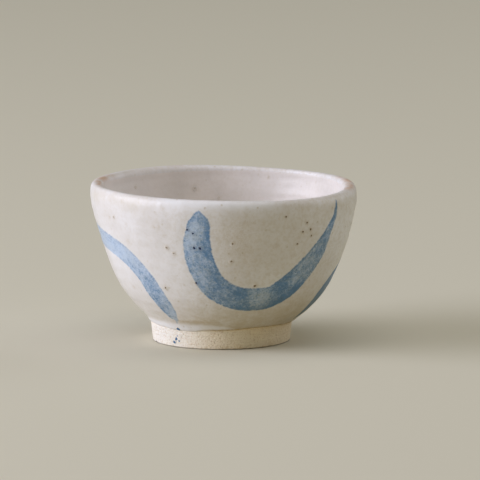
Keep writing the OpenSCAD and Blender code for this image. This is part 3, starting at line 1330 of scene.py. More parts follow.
@dataclass(frozen=True)
class GlazeLine:
    """Where the outside coat ends above the foot, and how it has pooled there.

    Both tables are rows of azimuth in degrees and height in millimetres. As shares of the pool's height,
    its fade has a start and an end, and its swelling a middle and a width.
    """

    rows: Rows = (
        (-150.0, 5.6), (-115.0, 5.35), (-83.0, 5.4), (-59.0, 5.08), (-46.0, 4.8), (-35.0, 4.62),
        (-25.0, 4.64), (-19.0, 4.9), (-12.0, 5.14), (4.0, 5.17), (17.0, 5.45), (30.0, 5.66),
        (46.0, 5.58), (60.0, 5.46), (78.0, 5.3), (110.0, 5.2), (145.0, 5.5), (180.0, 5.35),
    )
    pool_rows: Rows = (
        (-180.0, 1.5), (-150.0, 1.4), (-120.0, 0.5), (-90.0, 1.3), (-62.0, 2.2), (-48.0, 2.5),
        (-36.0, 2.9), (-27.0, 3.0), (-18.0, 3.1), (-10.0, 2.8), (0.0, 2.4), (9.0, 0.9),
        (20.0, 0.1), (110.0, 0.1), (140.0, 0.8), (165.0, 1.6),
    )
    spread: float = 4.0
    pool_spread: float = 2.0
    wander_h: float = 0.035 * MM
    edge_w: float = 1.1 * MM
    pool_lift: float = 0.11 * MM
    pool_strength: float = 0.95
    pool_start: float = 0.8 * MM
    pool_fade: Pair = (0.6, 1.35)
    pool_swell: Pair = (0.45, 0.42)
    pool_least: float = 0.2 * MM
    pool_full: float = 1.1 * MM

    @staticmethod
    def _level(rows: Rows, azimuth: Array, spread: float) -> Array:
        """Height that a table gives round the cup, as the mean of three places a spread apart.

        Args:
            rows: The table.
            azimuth: Azimuths in radians.
            spread: Angle between the places in degrees.

        Returns:
            Heights in metres.
        """
        turns, heights = np.array(rows).T
        degrees = np.degrees(azimuth)
        near = (np.interp(degrees + shift, turns, heights, period=360.0) for shift in (-spread, 0.0, spread))
        return sum(near) / 3.0 * MM

    def z(self, azimuth: Array) -> Array:
        """Height of the line at azimuths in radians, with a fine wander."""
        wander = np.sin(19.0 * azimuth) + 0.6 * np.sin(43.0 * azimuth + 2.0)
        return self._level(self.rows, azimuth, self.spread) + self.wander_h * wander

    def pool_h(self, azimuth: Array) -> Array:
        """How far the pooled glaze reaches up from the line, at azimuths in radians."""
        return self._level(self.pool_rows, azimuth, self.pool_spread)

    def pooled(self, azimuth: Array) -> Array:
        """How much glaze has gathered over the line, most of it where the pool is high."""
        return smooth(self.pool_h(azimuth), self.pool_least, self.pool_full)

    def pool(self, azimuth: Array, above: Array) -> Array:
        """Strength of the pool: it rises smoothly from the line up and fades at its own height.

        Args:
            azimuth: Azimuths in radians.
            above: Ways above the line in metres.

        Returns:
            Strengths from 0 to 1.
        """
        pool_h = self.pool_h(azimuth)
        fade = smooth(above, self.pool_fade[0] * pool_h, self.pool_fade[1] * pool_h)
        return self.pool_strength * self.pooled(azimuth) * smooth(above, 0.0, self.pool_start) * (1.0 - fade)


@dataclass(frozen=True)
class Patch:
    """A soft patch of glaze that faces one way.

    It starts and is full at two cosines of the turn to its azimuth, which is in degrees. Up and down it is
    a bell with a middle and a width.
    """

    azimuth: float
    start: float
    full: float
    middle: float
    width: float
    strength: float = 1.0

    def around(self, azimuth: Array) -> Array:
        """The patch's share round the cup, at azimuths in radians."""
        return facing(azimuth, self.azimuth, self.start, self.full)

    def up(self, height: Array) -> Array:
        """The patch's share up and down, at heights or ways in metres."""
        return bell(height, self.middle, self.width)

    def at(self, azimuth: Array, height: Array) -> Array:
        """Strength of the patch."""
        return self.strength * self.around(azimuth) * self.up(height)


@dataclass(frozen=True)
class GlazeMarks:
    """What the kiln and the potter left in the glaze away from its lower edge.

    The rim's patches are placed by the way past the wall's top, the milky one by the way, and the smudge,
    its crease and the honey line by the way above the glaze line. Thin glaze fades out between two ways
    and is weaker on one side, given as in a patch; low on the wall it is partly painted shade, spared on the
    left, lit side. Glaze gathers between two distances from the floor's middle. Scorched places are rows of
    azimuth and strength.
    """

    rim_pool: Patch = Patch(-3.0, 0.87, 0.98, 0.5 * MM, 1.6 * MM, 1.25)
    rim_dull: tuple[Patch, ...] = (
        Patch(-60.0, 0.85, 0.98, -1.0 * MM, 3.0 * MM, 0.4),
        Patch(52.0, 0.85, 0.98, -1.0 * MM, 3.0 * MM, 0.4),
    )
    milky: Patch = Patch(-48.0, 0.8, 0.95, 22.0 * MM, 13.0 * MM, 0.42)
    smudge: Patch = Patch(-20.0, 0.94, 0.99, 4.6 * MM, 1.3 * MM)
    crease: Patch = Patch(-20.0, 0.94, 0.99, 4.7 * MM, 0.3 * MM)
    smudge_thin: float = 0.7
    smudge_brown: float = 0.12
    crease_brown: float = 0.2
    honey: Patch = Patch(34.0, 0.6, 0.85, 0.3 * MM, 0.6 * MM)
    honey_all: float = 0.1
    # Thin glaze low on the wall, partly real and partly painted shade: it fades out between these ways and is
    # spared on the left, lit side.
    thin_fade: Pair = (2.5 * MM, 19.0 * MM)
    thin: float = 0.7
    thin_spared_on_lit_side: tuple[float, float, float, float] = (-70.0, 0.6, 0.95, 0.5)
    floor_pool: float = 0.6
    floor_reach: Pair = (16.0 * MM, 6.0 * MM)
    scorched: Rows = ((-95.0, 0.9), (94.0, 0.85), (-150.0, 0.15))
    scorch_all: float = 0.06
    scorch_cosines: Pair = (0.9, 0.995)
    scorch_w: float = 1.2 * MM
    scorch_out: float = 0.2 * MM
    scorch_in_left: float = 0.9 * MM


@dataclass
class Coats:
    """The three coats of glaze: outside, over the lip and inside."""

    form: CupForm
    stains: Stains
    glaze_line: GlazeLine = field(default_factory=GlazeLine)
    marks: GlazeMarks = field(default_factory=GlazeMarks)
    columns: int = 432
    outside_rows: int = 114
    lip_rows: int = 30
    inside_rows: int = 112
    under_depth: float = 0.42 * MM

    def edge_lift(self, azimuth: Array, way: Array) -> Array:
        """Lift of the outside coat near its lower edge.

        Above the line the coat rises to its full thickness as a quarter of an ellipse, and a bell of
        pooled glaze stands over it where glaze has gathered.

        Args:
            azimuth: Azimuths in radians.
            way: Ways in metres.

        Returns:
            Lifts in metres, below 0 where the coat thins out.
        """
        line = self.glaze_line
        above = way - self.form.way_at_height(line.z(azimuth))
        t = np.clip(above / line.edge_w, 0.0, 1.0)
        thin = self.form.sizes.glaze_t * (np.sqrt(1.0 - (1.0 - t) ** 2) - 1.0)
        swell = bell(above, *(share * line.pool_h(azimuth) for share in line.pool_swell))
        return thin + line.pool_lift * line.pooled(azimuth) * swell

    def scorch(self, azimuth: Array, way: Array) -> Array:
        """Scorched patches on the lip, a little outside its crown, or inside it on the left.

        Args:
            azimuth: Azimuths in radians.
            way: Ways in metres.

        Returns:
            Strengths from 0 to 1.
        """
        form, marks = self.form, self.marks
        left = smooth(-np.sin(azimuth), 0.2, 0.9)
        crown = 0.5 * (form.wall_way + form.lip_end) + marks.scorch_in_left * left - marks.scorch_out
        around = sum(s * facing(azimuth, c, *marks.scorch_cosines) for c, s in marks.scorched)
        return bell(way, crown, marks.scorch_w) * np.clip(marks.scorch_all + around, 0.0, 1.0)

    def glaze_fields(self, azimuth: Array, way: Array) -> dict[str, Array]:
        """Fields that every glazed surface carries, each the sum of the marks of its kind.

        Args:
            azimuth: Azimuths in radians.
            way: Ways in metres.

        Returns:
            Strengths by name: pool; thin glaze, which low on the wall is partly painted shade; scorch; the
                honey brown line; and brown stains, with one wide patch of painted shade.
        """
        form, marks = self.form, self.marks
        above = way - form.way_at_height(self.glaze_line.z(azimuth))
        past_wall = way - form.wall_way
        pool = self.glaze_line.pool(azimuth, above)
        pool = pool + marks.rim_pool.at(azimuth, past_wall) + marks.milky.at(azimuth, way)
        pool = pool + marks.floor_pool * smooth(way, *(form.floor_way - reach for reach in marks.floor_reach))
        # Thin glaze, strengthened low on the wall as painted shade and spared on the lit left.
        side, start, full, spared = marks.thin_spared_on_lit_side
        low = marks.thin - spared * facing(azimuth, side, start, full)
        low = low * (1.0 - smooth(way, *marks.thin_fade))
        low = low + sum(patch.at(azimuth, past_wall) for patch in marks.rim_dull)
        smudge, crease = marks.smudge.at(azimuth, above), marks.crease.at(azimuth, above)
        honey = np.minimum(marks.honey_all + marks.honey.around(azimuth), 1.0) * marks.honey.up(above)
        return {
            "pool": pool,
            "bare": np.maximum(low, marks.smudge_thin * smudge) * np.clip(1.0 - pool, 0.0, 1.0),
            "scorch": self.scorch(azimuth, way),
            "line": honey + marks.smudge_brown * smudge + marks.crease_brown * crease,
            "stain": self.stains.on(form, azimuth, way),
        }

    def coat(self, azimuth: Array, way: Array, lifted: bool) -> Solid:
        """One coat as a closed shell, from grids of azimuths and ways.

        Args:
            azimuth: Azimuths in radians.
            way: Ways in metres.
            lifted: Whether its lower edge is rounded.

        Returns:
            The coat.
        """
        form = self.form

        def surface(a: Array, w: Array) -> Array:
            """Visible side of the coat."""
            return form.place(a, w, self.edge_lift(a, w) if lifted else 0.0)

        top = surface(azimuth, way)
        under = form.place(azimuth, way, -self.under_depth)
        if lifted:
            under[0] = top[0]
        return Solid.shell(top, under, normals_of(surface, azimuth, way), self.glaze_fields(azimuth, way))

    def build(self, dresser: Dresser, glaze: GlazeFinish, iron: IronFinish) -> None:
        """Makes the three coats and dresses them. The outside one has closer rows near the foot.

        Args:
            dresser: Maker of the materials.
            glaze: Finish of the glaze.
            iron: Finish of the iron.
        """
        form = self.form
        azimuth = all_round(self.columns)
        low = form.way_at_height(self.glaze_line.z(azimuth))
        share = np.linspace(0.0, 1.0, self.outside_rows)[:, None]
        outside = low + (form.wall_way - low) * (0.75 * share + 0.25 * share**2)
        lip = np.linspace(form.wall_way, form.lip_end, self.lip_rows)[:, None]
        inside = np.linspace(form.lip_end, form.floor_way, self.inside_rows)[:, None]
        for name, way, finish, slot, node in (
            ("outside_coat", outside, glaze, Slot.OUTSIDE, "outer_glaze"),
            ("lip_coat", lip, glaze, Slot.RIM, "rim_glaze"),
            ("inside_coat", inside, glaze.inside(), Slot.INSIDE, "inner_glaze"),
        ):
            grids = np.broadcast_arrays(azimuth, way)
            piece = self.coat(*grids, slot is Slot.OUTSIDE).to_object(name)
            settle_in(piece, dresser.glazed(name + " glaze", finish, iron), slot, [node])


@dataclass
class ClayBody:
    """The thrown bowl of bare clay, which shows under the glaze line and in the foot's well."""

    form: CupForm
    columns: int = 256
    wall_rows: int = 200
    point_rows: int = 14
    ceiling_rows: int = 40
    ripple_h: float = 0.05 * MM
    ripple_pitch: float = 1.6 * MM
    ripple_fade: float = 2.0 * MM

    def build(self, dresser: Dresser, clay: ClayFinish) -> None:
        """Makes the bowl as a lathe solid from the well's turned point up, over the lip and to the floor.

        The point is a smooth step of the radius. The well's ceiling has a turned spiral, a sine wave of the
        radius that moves on by one pitch in each turn.

        Args:
            dresser: Maker of the materials.
            clay: Finish of the clay.
        """
        form, s = self.form, self.form.sizes
        azimuth = all_round(self.columns)
        ways = np.linspace(0.0, form.floor_way, self.wall_rows)[:, None]
        wall = form.place_clay(*np.broadcast_arrays(azimuth, ways))
        point_share = np.linspace(0.0, 1.0, self.point_rows)[:, None]
        point_z = s.foot_h - (s.foot_h - s.well_z) * (1.0 - smooth(point_share, 0.0, 1.0))
        point = form.settle(round_axis(azimuth, s.turned_point_r * point_share, point_z))
        flat_r = np.linspace(s.turned_point_r, s.foot_r, self.ceiling_rows)[1:-1, None]
        spiral = self.ripple_h * np.sin(TURN * flat_r / self.ripple_pitch - azimuth)
        spiral = spiral * smooth(flat_r, s.turned_point_r, s.turned_point_r + self.ripple_fade)
        in_well = flat_r < s.foot_r - s.foot_wall
        ceiling = form.settle(round_axis(azimuth, flat_r, s.foot_h + spiral * in_well))
        piece = Solid.lathe(np.concatenate([point, ceiling, wall])).to_object("clay_body")
        settle_in(piece, dresser.clay("bare clay", clay), Slot.BARE_CLAY, ["clay_bowl"])


@dataclass
class TurnedFoot:
    """The turned foot ring, with tool marks, a few chips and painted contact shade along its lowest edge."""

    form: CupForm
    columns: int = 420
    mark_pitch: float = 0.9 * MM
    mark_h: float = 0.02 * MM
    mark_start: Pair = (0.2, 0.4)
    mark_end: Pair = (0.85, 0.97)
    chip_count: int = 26
    chip_seed: int = 7
    chip_ws: Pair = (0.25 * MM, 0.9 * MM)
    chip_depths: Pair = (0.05 * MM, 0.22 * MM)
    chips_outside: float = 0.7
    chip_h: float = 0.8 * MM
    flat_h: float = 0.02 * MM
    # Painted contact shade: the lowest edge, up to these heights, is darkened towards dark brown by this
    # share.
    edge_contact_shade: float = 0.6
    contact_shade_zs: Pair = (0.1 * MM, 0.45 * MM)

    def outline(self) -> tuple[Array, Array, Array]:
        """Closed outline of the ring: radius, height and direction out, from the top down the outside.

        Returns:
            Radii and heights in metres, and directions of unit length.
        """
        s = self.form.sizes
        base_r, well_r = s.foot_r - s.foot_lean, s.foot_r - s.foot_lean - s.foot_wall
        edge = s.foot_edge_r
        turn = np.radians(np.linspace(0.0, 90.0, 12))
        side = np.linspace([s.foot_r, s.foot_h], [base_r, edge], 40)
        outer = np.stack([base_r - edge + edge * np.cos(turn), edge - edge * np.sin(turn)], 1)
        inner = np.stack([well_r + edge - edge * np.sin(turn), edge - edge * np.cos(turn)], 1)
        well = np.linspace([well_r, edge], [well_r - s.well_lean, s.foot_h], 30)
        base = np.linspace(outer[-1], inner[0], 14)[1:-1]
        top = np.linspace(well[-1], side[0], 6)[1:]
        spots = np.concatenate([side, outer[1:], base, inner, well[1:], top])
        way = np.roll(spots, -1, 0) - np.roll(spots, 1, 0)
        way /= np.maximum(np.linalg.norm(way, axis=1, keepdims=True), 1e-12)
        return spots[:, 0], spots[:, 1], np.stack([-way[:, 1], way[:, 0]], 1)

    def relief(self, azimuth: Array, r: Array, z: Array) -> Array:
        """Tool marks and chips, as heights out of the ring's surface.

        Tool marks are two sine waves of the height on the sides, which drift slowly round. Chips are bells
        bitten out of the two lower edges at seeded azimuths.

        Args:
            azimuth: Azimuths in radians.
            r: Radii in metres.
            z: Heights in metres.

        Returns:
            Heights out in metres.
        """
        s = self.form.sizes
        share = z / s.foot_h
        level = smooth(share, *self.mark_start) * (1.0 - smooth(share, *self.mark_end))
        pace = TURN * z / self.mark_pitch
        marks = np.sin(pace - azimuth) + 0.6 * np.sin(pace / 0.37 + 2.0 * azimuth)
        rng = np.random.default_rng(self.chip_seed)
        centres = rng.uniform(-math.pi, math.pi, self.chip_count)
        widths = rng.uniform(*self.chip_ws, self.chip_count)
        depths = rng.uniform(*self.chip_depths, self.chip_count)
        outside = rng.uniform(0.0, 1.0, self.chip_count) < self.chips_outside
        middle_r = s.foot_r - s.foot_lean - 0.5 * s.foot_wall
        chips = np.zeros(np.broadcast_shapes(azimuth.shape, z.shape))
        for centre, width, depth, out in zip(centres, widths, depths, outside):
            side = (r > middle_r) if out else (r < middle_r)
            bite = bell(near_front(azimuth - centre) * s.foot_r, 0.0, width) * bell(z, 0.0, self.chip_h)
            chips = chips + depth * bite * side
        return self.mark_h * marks * level - chips * (z > self.flat_h)

    def side_place(self, azimuth: Array, z: Array, lift: Array | float = 0.0) -> Array:
        """Points over the foot's outer side, at an azimuth and a height."""
        r = self.form.foot_side_r(z)
        return self.form.settle(round_axis(azimuth, r + lift + self.relief(azimuth, r, z), z))

    def build(self, dresser: Dresser, clay: ClayFinish) -> None:
        """Makes the ring and dresses it.

        Args:
            dresser: Maker of the materials.
            clay: Finish of the clay.
        """
        azimuth = all_round(self.columns)
        r, z, out = self.outline()
        r, z = r[:, None], z[:, None]
        raised = self.relief(azimuth, r, z)
        height = z + np.maximum(raised * out[:, 1:], 0.0)
        points = self.form.settle(round_axis(azimuth, r + raised * out[:, :1], height))
        # Painted contact shade, full at the base and gone by the upper of the two heights.
        edge_contact_shade = np.broadcast_to(self.edge_contact_shade * (1.0 - smooth(z, *self.contact_shade_zs)), raised.shape)
        points, edge_contact_shade = (np.concatenate([v, v[:1]]) for v in (points, edge_contact_shade))
        piece = Solid.lathe(points, {"edge_contact_shade": edge_contact_shade}).to_object("turned_foot")
        settle_in(piece, dresser.clay("foot clay", clay), Slot.FOOT_CLAY, ["foot_ring"])


@dataclass
class BrushSweep:
    """One blue sweep as a thin closed skin over the outside coat."""

    name: str
    node: str
    slot: Slot
    stroke: Stroke
    coats: Coats
    proud: float = 0.02 * MM
    dip: float = 0.05 * MM
    margin: float = 1.2 * MM
    under_depth: float = 0.3 * MM
    dip_start: float = 0.25 * MM
    columns: int = 33
    end_rows: int = 7

    def build(self, dresser: Dresser, glaze: GlazeFinish, iron: IronFinish, blue: BlueFinish) -> None:
        """Makes the sweep and dresses it.

        Rows run along the stroke and on past both of its ends, columns across it and over a margin on each
        side. The skin stands a little proud within the stroke and dips under the coat in the margin.

        Args:
            dresser: Maker of the materials.
            glaze: Finish of the glaze.
            iron: Finish of the iron.
            blue: Finish of the brushed blue.
        """
        form = self.coats.form
        m = self.stroke.line(form)
        half = np.maximum(m["half"], 0.0) + self.margin
        runs = [np.stack([m["azimuth"], m["way"], half, m["across_around"], m["across_up"]], 1)]
        past = np.linspace(0.98, 0.0, self.end_rows + 1)[:-1] * self.margin
        for index, sign in ((0, -1.0), (-1, 1.0)):
            end = {name: values[index] for name, values in m.items()}
            columns = (
                end["azimuth"] + sign * past * end["along_around"] / form.skin_r(end["way"]),
                end["way"] + sign * past * end["along_up"],
                np.sqrt(self.margin**2 - past**2),
                end["across_around"],
                end["across_up"],
            )
            runs.append(np.stack(np.broadcast_arrays(*columns), 1))
        rows = np.concatenate([runs[1], runs[0], runs[2][::-1]])
        side = np.linspace(-1.0, 1.0, self.columns)[None, :] * rows[:, 2:3]
        way = rows[:, 1:2] + side * rows[:, 4:5]
        azimuth = rows[:, 0:1] + side * rows[:, 3:4] / form.skin_r(way)
        fields = self.stroke.fields(form, azimuth, way)
        dip = self.dip * smooth(-fields["edge"] * MM, self.dip_start, 0.95 * self.margin)
        top = form.place(azimuth, way, self.proud - dip)
        under = form.place(azimuth, way, -self.under_depth)
        fields |= self.coats.glaze_fields(azimuth, way)
        solid = Solid.shell(top, under, normals_of(form.place, azimuth, way), fields, ring=False)
        piece = solid.to_object(self.name)
        settle_in(piece, dresser.glazed(self.name + " blue", glaze, iron, blue), self.slot, [self.node])


@dataclass(frozen=True)
class Blot:
    """Shape of a small round blot on a surface, by rings from its middle to its tucked edge."""

    rings: int = 9
    segments: int = 26
    spread: float = 1.7
    proud: float = 0.012 * MM
    middle: float = 0.014 * MM
    brim: float = 0.05 * MM
    tuck: float = 0.06 * MM
    depth: float = 0.2 * MM

    def grid(self, seed: int, radius: float) -> tuple[Array, Array, Array]:
        """Polar grid of one blot.

        The outline is a circle with two seeded waves round it.

        Args:
            seed: Seed of its outline.
            radius: Radius of its core in metres.

        Returns:
            Offsets around and up, and the share from the middle to the edge.
        """
        rng = np.random.default_rng(seed)
        phase = rng.uniform(0.0, TURN, 2)
        share = np.linspace(0.0, 1.0, self.rings)[:, None]
        turn = np.linspace(0.0, TURN, self.segments + 1)[None, :]
        wave = 1.0 + 0.14 * np.sin(2.0 * turn + phase[0]) + 0.07 * np.sin(3.0 * turn + phase[1])
        reach = share * radius * self.spread * wave
        return reach * np.cos(turn), reach * np.sin(turn), np.broadcast_to(share, reach.shape)

    def lift(self, share: Array) -> Array:
        """Height over the surface: a shallow crater with a raised brim, tucked under at the edge."""
        raised = self.brim * bell(share, 0.5, 0.2) + self.middle * bell(share, 0.0, 0.3)
        return self.proud + raised - self.tuck * smooth(share, 0.8, 1.0)


@dataclass
class IronSpecks:
    """Iron specks in the glaze, as small blots with a raised brim: strong, weak and inside ones."""

    coats: Coats
    stroke: Stroke
    rows: Rows
    weak_rows: Rows
    inside_rows: Rows
    weak_seed: int = 60
    inside_seed: int = 100
    weak: float = 0.6
    inside: float = 0.35
    speck_d: float = 1.12 * MM
    blot: Blot = field(default_factory=Blot)

    def speck(self, seed: int, azimuth: float, way: float, share_d: float, strength: float = 1.0) -> Solid:
        """One speck.

        Args:
            seed: Seed of its outline.
            azimuth: Its azimuth in degrees.
            way: Its way in metres.
            share_d: Its share of the largest diameter.
            strength: How dark its core is, from 0 to 1.

        Returns:
            The speck as a shell on the settled form.
        """
        form = self.coats.form
        radius = 0.5 * share_d * self.speck_d
        around, up, share = self.blot.grid(seed, radius)
        ways = way + up
        azimuths = math.radians(azimuth) + around / form.skin_r(ways)
        top = form.place(azimuths, ways, self.blot.lift(share))
        under = form.place(azimuths, ways, -self.blot.depth)
        fields = self.coats.glaze_fields(azimuths, ways) | self.stroke.fields(form, azimuths, ways)
        fields["iron"] = strength * (1.0 - smooth(share, 0.1, 0.5))

        def surface(a: Array, w: Array) -> Array:
            """Surface of the blot near a place, for its normals."""
            gap = np.hypot((a - math.radians(azimuth)) * form.skin_r(w), w - way)
            return form.place(a, w, self.blot.lift(np.clip(gap / (radius * self.blot.spread), 0.0, 1.0)))

        return Solid.shell(top, under, normals_of(surface, azimuths, ways), fields)

    def build(self, dresser: Dresser, glaze: GlazeFinish, iron: IronFinish, blue: BlueFinish) -> None:
        """Makes the outside specks as one piece and the inside ones as another.

        Args:
            dresser: Maker of the materials.
            glaze: Finish of the glaze.
            iron: Finish of the iron.
            blue: Finish of the brushed blue.
        """
        form = self.coats.form
        outside = [self.speck(k, a, s * form.wall_way, d) for k, (a, s, d) in enumerate(self.rows)]
        outside += [
            self.speck(k, a, s * form.wall_way, d, self.weak)
            for k, (a, s, d) in enumerate(self.weak_rows, self.weak_seed)
        ]
        inside = [
            self.speck(k, a, form.lip_end + w * MM, d, self.inside)
            for k, (a, w, d) in enumerate(self.inside_rows, self.inside_seed)
        ]
        material = dresser.glazed("iron in glaze", glaze, iron, blue, specks=True)
        for name, solids, nodes in (
            ("iron_specks_outside", outside, ["iron_specks"]), ("iron_specks_inside", inside, []),
        ):
            settle_in(Solid.joined(solids).to_object(name), material, Slot.IRON, nodes)


@dataclass
class FootSplashes:
    """Blue drops that the brush left on the foot's side and over the edge of the glaze."""

    foot: TurnedFoot
    coats: Coats
    rows: Rows
    splash_d: float = 1.2 * MM
    first_seed: int = 222
    proud: float = 0.03 * MM
    edge_share: float = 2.0
    load: float = 0.95
    load_fall: float = 0.25
    blot: Blot = field(default_factory=lambda: Blot(spread=1.35, brim=0.02 * MM, middle=0.0))

    def surface(self, azimuth: Array, z: Array, lift: Array | float = 0.0) -> Array:
        """Points over the foot's side or over the coat, whichever stands out further at a height.

        Args:
            azimuth: Azimuths in radians.
            z: Heights in metres.
            lift: Height over it in metres.

        Returns:
            The points.
        """
        way = self.foot.form.way_at_height(z)
        side = self.foot.side_place(azimuth, z, lift)
        coat = self.foot.form.place(azimuth, way, self.coats.edge_lift(azimuth, way) + lift)
        proud = np.hypot(coat[..., 0], coat[..., 1]) > np.hypot(side[..., 0], side[..., 1])
        return np.where(proud[..., None], coat, side)

    def splash(self, seed: int, azimuth: float, z: float, share_d: float) -> Solid:
        """One drop, over the foot's side or over the glaze.

        Args:
            seed: Seed of its outline.
            azimuth: Its azimuth in degrees.
            z: Its height in metres.
            share_d: Its share of the largest diameter.

        Returns:
            The drop as a shell on the settled form.
        """
        radius = 0.5 * share_d * self.splash_d
        around, up, share = self.blot.grid(seed, radius)
        heights = z + up
        azimuths = math.radians(azimuth) + around / self.foot.form.foot_side_r(heights)
        top = self.surface(azimuths, heights, self.blot.lift(share) + self.proud)
        under = self.foot.side_place(azimuths, heights, -self.blot.depth)
        edge = self.edge_share * (1.0 - share * self.blot.spread) * radius / MM
        fields = {"edge": edge, "load": self.load - self.load_fall * share}
        return Solid.shell(top, under, normals_of(self.surface, azimuths, heights), fields)

    def build(self, dresser: Dresser, clay: ClayFinish, blue: BlueFinish) -> None:
        """Makes the drops as one piece and dresses it.

        Args:
            dresser: Maker of the materials.
            clay: Finish of the clay.
            blue: Finish of the brushed blue.
        """
        foot_h = self.foot.form.sizes.foot_h
        rows = enumerate(self.rows, self.first_seed)
        drops = [self.splash(seed, a, s * foot_h, d) for seed, (a, s, d) in rows]
        piece = Solid.joined(drops).to_object("foot_splashes_blue")
        settle_in(piece, dresser.splash("splash blue", clay, blue), Slot.SPLASH_BLUE, ["foot_splashes"])


# Studio


@dataclass(frozen=True)
class Lamp:
    """A round area lamp that looks at the cup, placed by azimuth and height in degrees and by distance."""

    name: str
    azimuth: float
    height: float
    distance: float
    size: float
    power: float
    colour: tuple[float, float, float]
    aim_z: float = 20.0 * MM

    def build(self) -> None:
        """Adds the lamp to the scene."""
        data = bpy.data.lights.new(self.name, "AREA")
        data.shape = "DISK"
        data.size = self.size
        data.energy = self.power
        data.color = self.colour
        lamp = bpy.data.objects.new(self.name, data)
        bpy.context.scene.collection.objects.link(lamp)
        azimuth, height = math.radians(self.azimuth), math.radians(self.height)
        flat = self.distance * math.cos(height)
        high = self.distance * math.sin(height) + self.aim_z
        lamp.location = (flat * math.sin(azimuth), -flat * math.cos(azimuth), high)
        lamp.rotation_euler = (math.pi / 2 - height, 0.0, azimuth)


@dataclass(frozen=True)
class Studio:
    """A plain pale floor, soft light from the left and a distant camera a little above the cup."""

    pitch: float = math.radians(8.95)
    distance: float = 3.068
    focal_px: float = 11200.0
    sensor: float = 36.0
    origin_px: Pair = (222.7, 338.7)
    clip_end: float = 50.0
    floor_r: float = 8.0
    floor_rings: int = 24
    floor_columns: int = 96
    floor_colour: Colour = screen(215, 210, 193)
    bounce_colour: Colour = screen(200, 193, 165)
    floor_roughness: float = 0.9
    floor_specular: float = 0.1
    lamps: tuple[Lamp, ...] = (
        Lamp("key", -80.0, 15.0, 1.5, 1.2, 23.2, (0.965, 0.985, 1.155)),
        Lamp("top", 20.0, 80.0, 1.5, 1.6, 5.7, (1.0, 0.93, 0.90)),
        Lamp("right", 112.0, 25.0, 1.5, 1.2, 3.8, (0.95, 1.0, 1.10)),
    )
    world_colour: Colour = (1.0, 0.99, 0.87, 1.0)
    world_light: float = 0.26

    def camera(self) -> None:
        """Places the camera so that the origin shows at its own pixel of the 480 by 480 frame."""
        data = bpy.data.cameras.new("camera")
        data.sensor_width = self.sensor
        data.lens = self.focal_px / FRAME_PX * self.sensor
        data.clip_end = self.clip_end
        camera = bpy.data.objects.new("camera", data)
        bpy.context.scene.collection.objects.link(camera)
        right = (self.origin_px[0] - FRAME_PX / 2) / PX_PER_MM * MM
        up = (FRAME_PX / 2 - self.origin_px[1]) / PX_PER_MM * MM
        c, s = math.cos(self.pitch), math.sin(self.pitch)
        camera.location = (-right, -up * s - self.distance * c, -up * c + self.distance * s)
        camera.rotation_euler = (math.pi / 2 - self.pitch, 0.0, 0.0)
        bpy.context.scene.camera = camera

    def floor(self) -> None:
        """A wide disc of fine rings under the cup."""
        r = (np.linspace(0.0, 1.0, self.floor_rings) ** 3)[:, None] * self.floor_r
        piece = Solid.lathe(round_axis(all_round(self.floor_columns), r, 0.0)).to_object("floor")
        material = bpy.data.materials.new("plain floor")
        material.use_nodes = True
        shader = material.node_tree.nodes["Principled BSDF"]
        tree = Tree(material.node_tree)
        seen = tree.add("LightPath").outputs["Is Camera Ray"]
        colour = tree.mix(seen, self.bounce_colour, self.floor_colour)
        tree.tree.links.new(colour, shader.inputs["Base Color"])
        settings(shader, {"Roughness": self.floor_roughness, "Specular IOR Level": self.floor_specular})
        piece.data.materials.append(material)

    def sky(self) -> None:
        """An even dim sky."""
        world = bpy.data.worlds.new("sky")
        world.use_nodes = True
        background = world.node_tree.nodes["Background"]
        background.inputs["Color"].default_value = self.world_colour
        background.inputs["Strength"].default_value = self.world_light
        bpy.context.scene.world = world

    def build(self) -> None:
        """Sets up floor, lights, camera and the plain view transform."""
        self.floor()
        for lamp in self.lamps:
            lamp.build()
        self.sky()
        self.camera()
        bpy.context.scene.view_settings.view_transform = "Standard"


FRONT_STROKE = Stroke(
    rows=(
        (-10.3, 0.970, 0.03), (-10.4, 0.938, 0.42), (-10.3, 0.888, 0.78), (-11.2, 0.815, 0.89),
        (-12.1, 0.731, 1.02), (-11.7, 0.632, 1.05), (-9.3, 0.530, 1.03), (-4.8, 0.431, 1.03),
        (4.4, 0.356, 1.00), (14.6, 0.334, 1.03), (25.3, 0.350, 1.00), (34.9, 0.435, 1.06),
        (42.4, 0.550, 0.95), (48.2, 0.669, 0.78), (52.7, 0.796, 0.40), (55.8, 0.886, 0.26),
        (56.6, 0.94, 0.18), (57.3, 0.99, 0.09), (57.5, 1.005, 0.03),
    ),
    load=0.5,
    pools=(
        (0.02, 0.0, 0.04, 1.5, 0.1), (0.075, -0.2, 0.035, 0.8, -0.2), (0.085, 0.8, 0.04, 0.35, 0.35),
        (0.12, -0.5, 0.05, 0.5, -0.28), (0.17, 0.8, 0.03, 0.4, 0.35), (0.24, -0.3, 0.06, 0.6, -0.12),
        (0.28, 0.55, 0.04, 0.4, 0.2), (0.345, -0.7, 0.035, 0.4, 0.15), (0.34, 0.3, 0.05, 0.6, 0.15),
        (0.43, -0.8, 0.04, 0.35, 0.35), (0.42, 0.5, 0.04, 0.6, 0.35), (0.51, 0.4, 0.045, 0.7, -0.24),
        (0.56, -0.85, 0.05, 0.4, 0.45), (0.64, -0.75, 0.035, 0.4, 0.55), (0.585, 0.3, 0.04, 0.8, 0.5),
        (0.645, 0.8, 0.03, 0.4, 0.35), (0.65, 0.1, 0.025, 0.4, -0.22), (0.72, -0.1, 0.04, 0.8, -0.04),
        (0.745, 0.6, 0.04, 0.5, -0.06), (0.82, -0.4, 0.04, 0.4, 0.12), (0.85, 0.8, 0.03, 0.4, 0.25),
        (0.92, 0.0, 0.03, 1.2, 0.2), (1.0, 0.0, 0.05, 1.5, 0.2),
    ),
)
